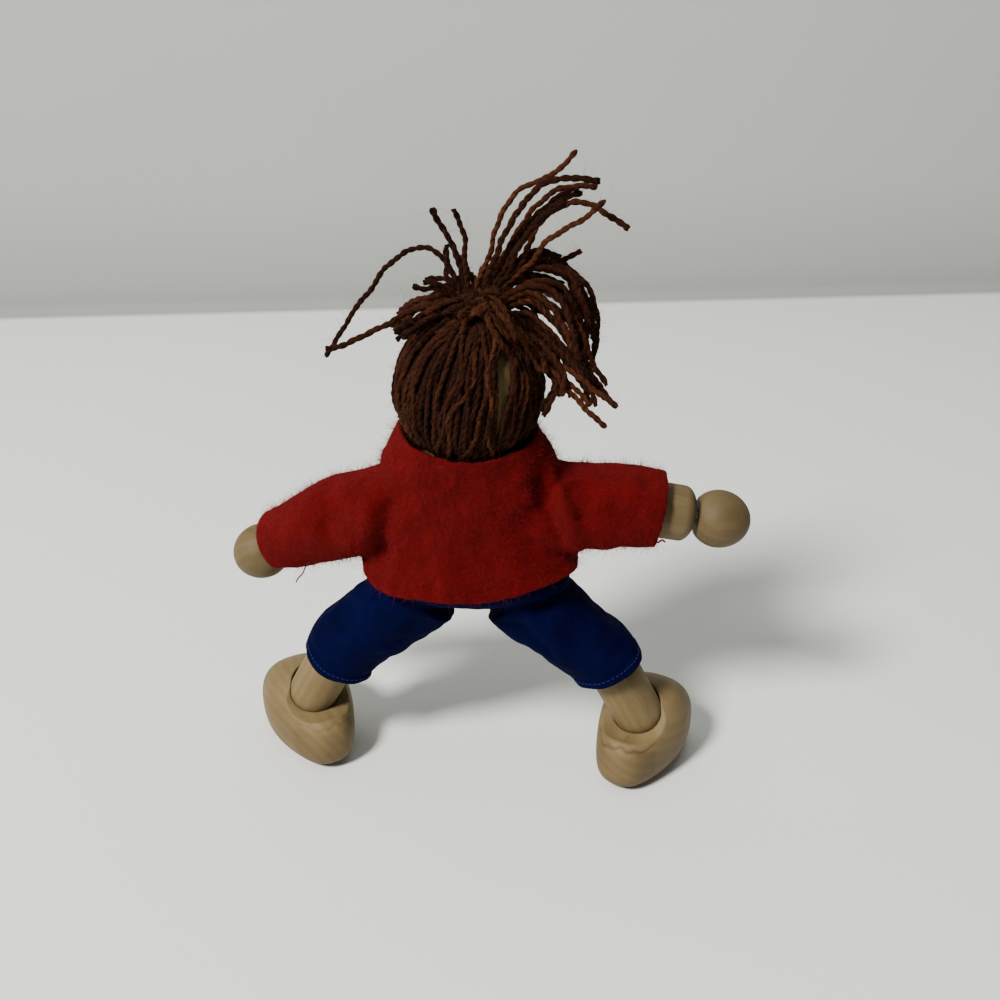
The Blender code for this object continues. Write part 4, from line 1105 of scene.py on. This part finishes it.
def add_tie():
    """Thread wound three times round the gathered yarn."""
    ring = Heap()
    for turn in range(3):
        path = []
        for angle in np.linspace(0, 2 * math.pi, 60):
            height = 15.1 + 0.42 * turn + 0.12 * math.sin(angle + turn)
            path.append(crown_point(2.75 + 0.12 * math.sin(3 * angle + turn), angle, height))
        ring.yarn(np.array(path), 0.27, 1.4, 0.4, turn)
    ring.add("hair_tie_thread", TIE_THREAD, "head", "brown_yarn", ["hair_tie"])


def add_hair_fuzz(sources):
    """Fine fibres that stand off the yarns; sources lists (yarns, fibres, longest)."""
    fuzz = Heap()
    for source, count, far in sources:
        verts = np.vstack(source.verts)
        for index in RNG.integers(0, len(verts), count):
            if in_face(verts[index]):
                continue
            way = unit(RNG.normal(size=3) + unit(verts[index] - HEAD) * 0.8)
            length = RNG.uniform(0.3, far)
            fibre(fuzz, verts[index] - way * 0.1, way, length, 0.9, 0.022, RNG.uniform(0.2, 0.9))
    fuzz.add("hair_fuzz", FUZZ, "head", "brown_yarn")


add_cap_lining()
cap_yarns = add_cap()
tuft_yarns = add_tuft()
add_tie()
add_hair_fuzz(((cap_yarns, 7500, 1.6), (tuft_yarns, 8500, 2.4)))


# Clothes

CLOTH_GRID = 0.00046


def oval_ring(half_width, half_depth, power, height, count=72):
    x = half_width * rounded(np.cos(turns(count)), power)
    y = half_depth * rounded(np.sin(turns(count)), power)
    return np.column_stack([x + CENTRE[0], y + CENTRE[1], np.full(count, height)])


def loft(rings):
    """Closed skin over rings of the same count."""
    return np.vstack(rings), capped_faces(len(rings), len(rings[0]))


def sleeve_loft(points, widths):
    """Tube through points whose diameters are widths."""
    path = curve_through(points, 0.8)
    radii = np.interp(np.linspace(0, 1, len(path)), np.linspace(0, 1, len(widths)), widths) / 2
    angles = turns(40)
    rings = []
    for centre, way, radius in zip(path, np.gradient(path, axis=0), radii):
        first, second = basis(unit(way))
        rings.append(centre + radius * (np.outer(np.cos(angles), first) + np.outer(np.sin(angles), second)))
    return loft(rings)


def joined(parts):
    verts, faces, count = [], [], 0
    for part_verts, part_faces in parts:
        verts.append(part_verts)
        faces += [tuple(index + count for index in face) for face in part_faces]
        count += len(part_verts)
    return np.vstack(verts), faces


def sliced(verts, faces, planes):
    """Remove what lies past each plane, given as (point, way)."""
    mesh = make_mesh("slice", verts, faces)
    bm = bmesh.new()
    bm.from_mesh(mesh)
    for point, way in planes:
        everything = list(bm.verts) + list(bm.edges) + list(bm.faces)
        bmesh.ops.bisect_plane(bm, geom=everything, dist=1e-6, plane_co=Vector(point) * 0.001,
                               plane_no=Vector(way), clear_outer=True)
    bmesh.ops.remove_doubles(bm, verts=bm.verts, dist=0.00008)
    bm.to_mesh(mesh)
    bm.free()
    made = np.empty(len(mesh.vertices) * 3)
    mesh.vertices.foreach_get("co", made)
    kept = [tuple(face.vertices) for face in mesh.polygons]
    bpy.data.meshes.remove(mesh)
    return made.reshape(-1, 3) * 1000, kept


def onto(tree, pixels):
    """Points of the cloth seen at places of the photograph."""
    found = []
    for x, y in pixels:
        hit = tree.ray_cast(Vector(EYE), Vector(unit(ray(x, y))))[0]
        if hit is not None:
            found.append(np.array(hit))
    return found


def crease(verts, normals, points, width, depth):
    """Push points within width of a line in by depth, or out where depth is negative."""
    line = curve_through(points, 0.5)
    nearest = np.full(len(verts), 1e9)
    share = np.zeros(len(verts))
    for index, point in enumerate(line):
        reach = np.linalg.norm(verts - point, axis=1)
        closer = reach < nearest
        nearest[closer] = reach[closer]
        share[closer] = index / (len(line) - 1)
    ends = np.clip(np.minimum(share, 1 - share) * 5, 0, 1)
    return verts - normals * (depth * np.exp(-(nearest / width) ** 2) * ends)[:, None]


def folded(verts, faces, folds):
    """The cloth with each fold pressed in; folds lists (places on the photograph, width, depth)."""
    normals = point_normals(verts, faces)
    tree = BVHTree.FromPolygons([Vector(vert) for vert in verts], faces)
    for pixels, width, depth in folds:
        points = onto(tree, pixels)
        if len(points) > 1:
            verts = crease(verts, normals, points, width, depth)
    return verts


def rumple(verts, *waves):
    """Gentle unevenness of cloth, as a distance along the normals; waves lists (scale, depth, shift)."""
    return sum(np.array([noise.noise(Vector(point * scale + shift)) for point in verts]) * depth
               for scale, depth, shift in waves)


def limb_zones(side, sign, clear, rows):
    """Zones of cloth past planes across a limb, clear of the doll's middle.

    A row gives the zone's key, its joint, the way along the limb, the distances along it of the cut and of
    the blend's start and end, the bodies and the node that it replaces.
    """
    zones = {}
    for key, joint, way, cut, start, end, bodies, node in rows:
        def rule(centres, joint=joint, way=way, cut=cut):
            return ((centres - joint) @ way > cut) & (sign * (centres[:, 0] - CENTRE[0]) > clear)

        replaced = [f"{node}_{side}"] if node else []
        zones[f"{key}_{side}"] = (rule, bodies, joint + way * start, joint + way * end, replaced)
    return zones


def rest_zone(node):
    """What no other zone takes rides on the torso."""
    return lambda centres: np.ones(len(centres), bool), ("torso",), None, None, [node]


def shared_out(zones, centres):
    """Name, faces and ride of each zone; the first zone whose rule holds takes a face."""
    left = np.ones(len(centres), bool)
    for key, (rule, *ride) in zones.items():
        taken = left & rule(centres)
        left &= ~taken
        yield key, np.nonzero(taken)[0], ride


def cut_into_zones(name, verts, faces, normals, zones, material, slot):
    """Pieces for the bodies along the limbs, with the normals of the whole cloth."""
    centres = np.array([verts[list(face)].mean(axis=0) for face in faces])
    for key, picks, ride in shared_out(zones, centres):
        chosen = [faces[index] for index in picks]
        used = sorted({index for face in chosen for index in face})
        number = {index: place for place, index in enumerate(used)}
        own = [tuple(number[index] for index in face) for face in chosen]
        mesh = make_mesh(f"{name}_{key}", verts[used], own, {"rest": verts[used]}, normals[used])
        place_zone(f"{name}_{key}", mesh, material, slot, *ride)


def place_zone(name, mesh, material, slot, bodies, start, end, replaced):
    if len(bodies) == 1:
        return add_piece(name, mesh, material, bodies[0], slot, replaced)
    piece = add_piece(name, mesh, material, None, slot)
    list(bodies)
    np.array(start) * 0.001
    np.array(end) * 0.001
    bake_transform(piece)
    if replaced:
        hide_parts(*replaced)
    return piece


def fuzz_zones(name, verts, faces, normals, zones, material, slot, density, length, radius):
    """Short fibres standing on the cloth, in the same zones."""
    corners = [face[:3] for face in faces]
    a, b, c = (verts[[face[i] for face in corners]] for i in range(3))
    areas = np.linalg.norm(np.cross(b - a, c - a), axis=1)
    for key, picks, (bodies, start, end, _) in shared_out(zones, (a + b + c) / 3):
        if not len(picks):
            continue
        count = int(areas[picks].sum() * density)
        heap = Heap()
        for index in RNG.choice(picks, count, p=areas[picks] / areas[picks].sum()):
            u, v = RNG.uniform(0, 1, 2)
            root = a[index] + (b[index] - a[index]) * u + (c[index] - a[index]) * v * (1 - u)
            normal = normals[corners[index][0]]
            way = unit(normal * RNG.uniform(0.15, 1.0) + RNG.normal(size=3) * 0.55)
            fibre(heap, root - normal * 0.05, way, RNG.uniform(*length), 0.5, radius, RNG.uniform(0, 1))
        mesh = heap.mesh(f"{name}_{key}", rest=np.vstack(heap.verts))
        place_zone(f"{name}_{key}", mesh, material, slot, bodies, start, end, ())


def sweater_zones():
    zones = {}
    for side, sign in SIDES.items():
        shoulder, elbow, wrist = arm_line(side)
        slant = unit(np.array([sign * 0.98, 0, 0.20]))
        bent = unit(unit(unit(elbow - shoulder) + unit(wrist - elbow)) + slant)
        link, arm, fore = f"arm_link_{side}", f"upper_arm_{side}", f"forearm_{side}"
        zones |= limb_zones(side, sign, 6, (
            ("elbow", elbow, bent, -4.0, -3.2, 3.2, (arm, fore), "sleeve"),
            ("shoulder", shoulder, slant, 3.4, 3.7, 6.2, (link, arm), "sleeve"),
            ("seam", shoulder, slant, -0.4, 0.4, 3.1, ("torso", link), None),
        ))
    return zones | {"body": rest_zone("sweater_body")}


COLLAR_TOP, HEM = HEAD[2] - 7.6, TORSO_FOOT + 4.5
HEM_RISES = ((-25, 0.0), (-22, 2.4), (-20.3, 1.6), (-18, 0.3), (-12, 0.0), (0, -0.1), (4.5, 0.1), (7, 0.7),
             (11, 1.4), (14, 2.0), (18, 2.5), (22, 2.8), (26, 0.0))


def collar_dip(points):
    """How far the collar's edge lies lower in front and behind than at the shoulders."""
    deep = ((points[:, 1] - CENTRE[1]) / 10.6) ** 2
    return 1.9 * np.clip(deep, 0, 1.3) * smooth_share(np.clip((points[:, 2] - COLLAR_TOP + 12) / 12, 0, 1))


def hem_rise(points):
    """How far the hem lies higher than at the middle of the back; the doll's right side is drawn up."""
    rise = np.interp(points[:, 0] - CENTRE[0], *zip(*HEM_RISES))
    return rise * smooth_share(np.clip((HEM + 12 - points[:, 2]) / 12, 0, 1))


BODY_RINGS = (
    (HEM - 5.0, 22.2, 12.9, 2.4), (HEM - 2.0, 22.0, 12.8, 2.4), (HEM, 21.6, 12.6, 2.4),
    (HEM + 2.0, 20.9, 12.3, 2.4), (HEM + 4.0, 19.6, 11.7, 2.4), (HEM + 7.0, 17.6, 10.9, 2.4),
    (HEM + 11.0, 16.6, 10.5, 2.4), (HEM + 16.0, 16.4, 10.4, 2.4), (HEM + 21.0, 16.8, 10.6, 2.3),
    (HEM + 25.0, 16.0, 11.0, 2.2), (COLLAR_TOP - 2.5, 13.8, 11.6, 2.05), (COLLAR_TOP, 12.7, 11.4, 2.0),
    (COLLAR_TOP + 3.0, 12.0, 11.2, 2.0),
)
SLEEVES = {
    "right": {"reach": 20.3, "lift": -0.3, "widths": (17.0, 17.2, 16.4, 15.8, 15.4, 15.2)},
    "left": {"reach": 26.0, "lift": 0.0, "widths": (17.2, 17.2, 16.6, 15.6, 13.6, 12.6)},
}


def sweater_form():
    """Closed form of the body and sleeves, and the planes that open its cuffs."""
    parts = [loft([oval_ring(wide, deep, power, height) for height, wide, deep, power in BODY_RINGS])]
    planes = []
    for side, sleeve in SLEEVES.items():
        shoulder, elbow, wrist = arm_line(side)
        upper, lower = unit(elbow - shoulder), unit(wrist - elbow)
        cuff = elbow + lower * (sleeve["reach"] - np.linalg.norm(elbow - shoulder))
        lift = np.array([0, 0, sleeve["lift"]])
        line = [shoulder - upper * 8, shoulder - upper * 2, elbow - upper * 4 + lift, elbow + lift, cuff,
                cuff + lower * 2]
        parts.append(sleeve_loft(line, sleeve["widths"]))
        planes.append((cuff, lower))
    return joined(parts), planes


SWEATER_FOLDS = (
    (((388, 490), (384, 518), (380, 546), (373, 562)), 1.8, 2.2),
    (((399, 486), (397, 515), (393, 545)), 2.0, 0.7),
    (((370, 500), (365, 528), (361, 548)), 1.6, -0.7),
    (((540, 425), (549, 455), (561, 492), (571, 528), (575, 556)), 1.3, -1.4),
    (((536, 455), (543, 490), (552, 520), (561, 545)), 2.0, 2.0),
    (((575, 480), (579, 505), (582, 530)), 2.0, 1.5),
    (((350, 500), (330, 520), (318, 540)), 2.4, 0.6),
    (((330, 488), (300, 508), (285, 530)), 3.0, -0.5),
    (((610, 505), (628, 512), (645, 516)), 2.6, 0.45),
    (((470, 500), (440, 520), (405, 560)), 3.6, 0.7),
    (((515, 510), (530, 545), (540, 575)), 3.2, 0.6),
    (((455, 560), (450, 580), (449, 598)), 3.0, -0.5),
    (((425, 470), (450, 490), (490, 498)), 3.0, 0.35),
)


def add_sweater():
    """Skin with folds, a rolled hem with a groove over it and uneven felt, given a thickness."""
    form, planes = sweater_form()
    verts, faces = evaluated(make_mesh("sweater", *form), [remesh(CLOTH_GRID), smooth(0.5, 14)])
    verts[:, 2] += collar_dip(verts) - hem_rise(verts)
    verts, faces = sliced(verts, faces, planes + [((0, 0, COLLAR_TOP), (0, 0, 1)), ((0, 0, HEM), (0, 0, -1))])
    verts[:, 2] += hem_rise(verts) - collar_dip(verts)
    verts = folded(verts, faces, SWEATER_FOLDS)
    over_hem = verts[:, 2] - HEM - hem_rise(verts)
    body = np.abs(verts[:, 0] - CENTRE[0]) < 23
    roll = np.exp(-((over_hem - 0.6) / 0.8) ** 2) * body
    groove = np.exp(-((over_hem - 2.3) / 0.55) ** 2) * body
    uneven = rumple(verts, (0.11, 0.85, 3.0), (0.33, 0.38, 9.0), (1.1, 0.14, 5.0))
    out = uneven + 0.30 * roll - 0.22 * groove
    verts = keep_off_wood(verts + point_normals(verts, faces) * out[:, None])
    outer = len(faces)
    thick = ("SOLIDIFY", {"thickness": 0.0010, "offset": -1.0})
    verts, faces = evaluated(make_mesh("shell", verts, faces), [thick, smooth(0.4, 2)])
    out = rumple(verts, (2.3, 0.10, 1.0), (4.5, 0.05, 7.0))
    verts = verts + point_normals(verts, faces) * out[:, None]
    normals = point_normals(verts, faces)
    zones = sweater_zones()
    cut_into_zones("sweater", verts, faces, normals, zones, FELT, "red_felt")
    fuzz_zones("sweater_fuzz", verts, faces[:outer], normals, zones, FELT_FUZZ, "red_felt",
               3.4, (0.5, 2.0), 0.026)


STRAY_THREADS = (
    ("left", ((310, 561), (305, 568), (302, 574), (298, 578), (296, 582)), 0.15, DARK_THREAD, "brown_yarn"),
    ("right", ((648, 536), (653, 541), (658, 542), (662, 540), (665, 542)), 0.20, RED_THREAD, "red_felt"),
)


def add_stray_threads():
    """A loose end at the lower edge of each sleeve, near its cuff."""
    for side, pixels, radius, material, slot in STRAY_THREADS:
        depth = place_of("elbow_bend_" + side)[1] - 3.6
        path = curve_through([seen(x, y, depth) for x, y in pixels], 0.25)
        heap = Heap()
        heap.tube(path + wander(path, 0.9, 0.15), radius, 6)
        heap.add("stray_thread_" + side, material, "forearm_" + side, slot)


def keep_off_wood(verts):
    """Move the sleeves' points out to a small distance from the beads inside."""
    moved = verts.copy()
    for side in SIDES:
        shoulder, elbow, wrist = arm_line(side)
        for a, b, radius in ((shoulder, elbow, 6.9), (elbow, wrist, 6.8)):
            line = b - a
            share = np.clip(((moved - a) @ line) / (line @ line), 0, 1)
            foot = a + share[:, None] * line
            away = moved - foot
            reach = np.linalg.norm(away, axis=1)
            short = (reach < radius) & (share > 0.15)
            moved[short] = foot[short] + away[short] / reach[short, None] * radius
    return moved


add_sweater()
add_stray_threads()


def trouser_zones():
    zones = {}
    for side, sign in SIDES.items():
        hip, knee, ankle = leg_line(side)
        slant = unit(np.array([sign * 0.6, 0, -0.8]))
        bent = unit(unit(knee - hip) + unit(ankle - knee))
        link, upper, lower = f"leg_link_{side}", f"thigh_{side}", f"shin_{side}"
        zones |= limb_zones(side, sign, 0.6, (
            ("knee", knee, bent, -5.0, -4.2, 4.2, (upper, lower), "trouser_leg"),
            ("hip", hip, slant, 2.0, 2.7, 7.5, (link, upper), "trouser_leg"),
            ("fork", hip, slant, -2.6, -1.9, 1.3, ("torso", link), None),
        ))
    return zones | {"seat": rest_zone("trousers_seat")}


SEAT_RINGS = ((-2.6, 0.15, 0.12), (-2.2, 0.42, 0.34), (-1.3, 0.72, 0.55), (-0.1, 0.98, 0.76),
              (1.5, 1.18, 0.93), (2.8, 1.28, 1.01), (4.2, 1.25, 1.03), (6.0, 1.12, 1.0),
              (8.5, 1.0, 1.0), (10.5, 1.0, 1.0))
LEG_WIDTHS = (15.6, 15.8, 15.6, 15.2, 14.8, 14.8)
WAIST = TORSO_FOOT + 8.5
CUFF_REACH = {"right": 24.6, "left": 26.2}


def trouser_form():
    """Closed form of the seat and legs, the planes that open it and each cuff's place and way."""
    rings = [oval_ring(15.4 * wide, 9.9 * deep, 2.2, TORSO_FOOT + up) for up, wide, deep in SEAT_RINGS]
    parts = [loft(rings)]
    cuffs = {}
    for side, sign in SIDES.items():
        hip, knee, ankle = leg_line(side)
        thigh, shin = unit(knee - hip), unit(ankle - knee)
        outer = unit(np.cross(thigh, (0, 1, 0)) * sign)
        outer = outer * np.sign(outer[2])
        cuff = knee + shin * (CUFF_REACH[side] - np.linalg.norm(knee - hip))
        line = [hip - thigh * 2 + outer * 1.2, hip + thigh * 6 + outer * 0.8, knee - thigh * 5 - outer * 0.3,
                knee - outer * 0.9, cuff - outer * 0.9, cuff + shin * 2 - outer * 0.9]
        parts.append(sleeve_loft(line, LEG_WIDTHS))
        cuffs[side] = (cuff, shin)
    return joined(parts), [((0, 0, WAIST), (0, 0, 1)), *cuffs.values()], cuffs


TROUSER_FOLDS = (
    (((500, 612), (530, 636), (556, 662)), 1.4, 1.0),
    (((515, 605), (545, 628), (575, 655)), 1.6, -0.5),
    (((590, 585), (560, 600), (528, 610)), 1.4, 1.0),
    (((600, 600), (575, 618), (545, 625)), 1.6, -0.45),
    (((358, 580), (372, 592), (392, 602)), 1.4, 1.0),
    (((352, 592), (368, 604), (392, 612)), 1.5, -0.4),
    (((440, 612), (415, 628), (390, 650)), 1.8, 0.6),
    (((345, 610), (335, 635), (325, 655)), 2.4, 0.4),
    (((612, 610), (620, 635), (622, 660)), 2.4, 0.4),
)

def add_trousers():
    """Thin skin with folds and, at each cuff, a raised band under a stitched groove."""
    form, planes, cuffs = trouser_form()
    verts, faces = evaluated(make_mesh("trousers", *form), [remesh(CLOTH_GRID), smooth(0.5, 10)])
    verts, faces = sliced(verts, faces, planes)
    verts = folded(verts, faces, TROUSER_FOLDS)
    normals = point_normals(verts, faces)
    verts = verts + normals * rumple(verts, (0.13, 0.8, 21.0), (0.40, 0.25, 2.0))[:, None]
    for cuff, shin in cuffs.values():
        up_leg = -(verts - cuff) @ shin
        near = np.linalg.norm(verts - cuff, axis=1) < 11
        band = near & (up_leg < 1.7)
        verts[band] += normals[band] * 0.18
        groove = near * np.exp(-((up_leg - 1.75) / 0.22) ** 2)
        verts -= normals * (0.14 * groove)[:, None]
    outer = len(faces)
    thick = ("SOLIDIFY", {"thickness": 0.00045, "offset": -1.0})
    verts, faces = evaluated(make_mesh("shell", verts, faces), [thick])
    normals = point_normals(verts, faces)
    zones = trouser_zones()
    cut_into_zones("trousers", verts, faces, normals, zones, COTTON, "blue_cotton")
    fuzz_zones("trousers_lint", verts, faces[:outer], normals, zones, COTTON, "blue_cotton",
               0.25, (0.3, 0.9), 0.012)
    add_stitches(verts, faces, cuffs)


STITCHES, STITCH_HALF, STITCH_RADIUS = 48, 0.30, 0.06


def add_stitches(verts, faces, cuffs):
    """A row of short thread stitches round each cuff, laid on the cloth."""
    tree = BVHTree.FromPolygons([Vector(vert) for vert in verts], faces)
    for side, (cuff, shin) in cuffs.items():
        first, second = basis(shin)
        centre = cuff - shin * 1.35
        heap = Heap()
        for number in range(STITCHES):
            points = []
            for shift, lift in ((-STITCH_HALF, -0.04), (0.0, 0.07), (STITCH_HALF, -0.04)):
                angle = 2 * math.pi * (number + 0.5 + shift) / STITCHES
                way = first * math.cos(angle) + second * math.sin(angle)
                hit = tree.ray_cast(Vector(centre + way * 12), Vector(-way))[0]
                if hit is not None:
                    points.append(np.array(hit) + way * lift)
            if len(points) == 3:
                heap.tube(curve_through(points, 0.14), STITCH_RADIUS, 6)
        heap.add("stitches_" + side, BLUE_THREAD, "shin_" + side, "blue_cotton")


add_trousers()


# Floor, backdrop and light

def stage_look():
    """Pale table and a wall with painted shade: a little darker at its foot and towards the left."""
    shader = Shader("backdrop", 0.75, Specular_IOR_Level=0.18)
    place = shader.node("TexCoord").outputs["Object"]
    split = shader.node("SeparateXYZ")
    shader.tree.links.new(place, split.inputs[0])
    cloudy = shader.noise(place, 5, 2, 0.5)
    table = shader.ramp(cloudy, [(0.3, (0.690, 0.695, 0.665)), (0.7, (0.715, 0.720, 0.690))])
    wall = shader.ramp(cloudy, [(0.3, (0.395, 0.402, 0.388)), (0.7, (0.412, 0.419, 0.405))])
    # Painted shade: the wall is darker towards the left.
    across = shader.plus(shader.times(split.outputs["X"], 1.2), 0.5, True)
    wall = shader.tinted(wall, 1.0, across, [(0.1, (0.86, 0.86, 0.86)), (0.6, WHITE)])
    # Painted shade: the wall is darkest at its foot, where it meets the table, and clears over its lowest 50
    # mm.
    height = shader.times(split.outputs["Z"], 10.0, True)
    foot_painted_shade = [(0.012, (0.70, 0.70, 0.69)), (0.14, (0.84, 0.84, 0.835)), (0.50, WHITE)]
    wall = shader.tinted(wall, 1.0, height, foot_painted_shade)
    rising = shader.ramp(height, [(0.0, BLACK), (0.012, WHITE)])
    shader.colour(shader.mix(rising, table, wall))
    return shader.material


WALL_BACK, WALL_SLOPE, WALL_CORNER = 290, 0.0784, 6


def add_stage():
    """Table whose far edge runs slightly away to the right, and the wall behind it, with a round corner."""
    profile = [(out, 0.0) for out in (-1190.0, -600.0, -200.0, -60.0, -12.0)]
    for angle in np.linspace(0, math.pi / 2, 9):
        profile.append((WALL_CORNER * (math.sin(angle) - 1), WALL_CORNER * (1 - math.cos(angle))))
    profile += [(0.0, height) for height in (12, 24, 48, 100, 200, 500, 1400)]
    across = np.linspace(-1500, 1500, 31)
    verts = [(x, WALL_BACK + HEAD[1] + WALL_SLOPE * x + out, up) for out, up in profile for x in across]
    faces = grid_faces(len(profile), len(across), closed=False)
    add_piece("backdrop", make_mesh("backdrop", verts, faces), stage_look())


def add_light(name, place, size, power, colour):
    data = bpy.data.lights.new(name, "AREA")
    data.shape = "DISK"
    data.size = size
    data.energy = power
    data.color = colour
    lamp = bpy.data.objects.new(name, data)
    lamp.location = Vector(place)
    aim = Vector((0, 0, 0.05)) - lamp.location
    lamp.rotation_euler = aim.to_track_quat("-Z", "Y").to_euler()
    bpy.context.scene.collection.objects.link(lamp)


add_stage()
add_light("key", (-0.56, -0.61, 0.90), 0.26, 30.5, (1.0, 0.985, 0.955))
add_light("overhead", (0.02, -0.10, 1.1), 0.50, 2.5, (0.98, 0.99, 1.0))
world = bpy.data.worlds.new("studio")
world.use_nodes = True
world.node_tree.nodes["Background"].inputs["Color"].default_value = (0.92, 0.95, 1.0, 1)
world.node_tree.nodes["Background"].inputs["Strength"].default_value = 0.13
bpy.context.scene.world = world
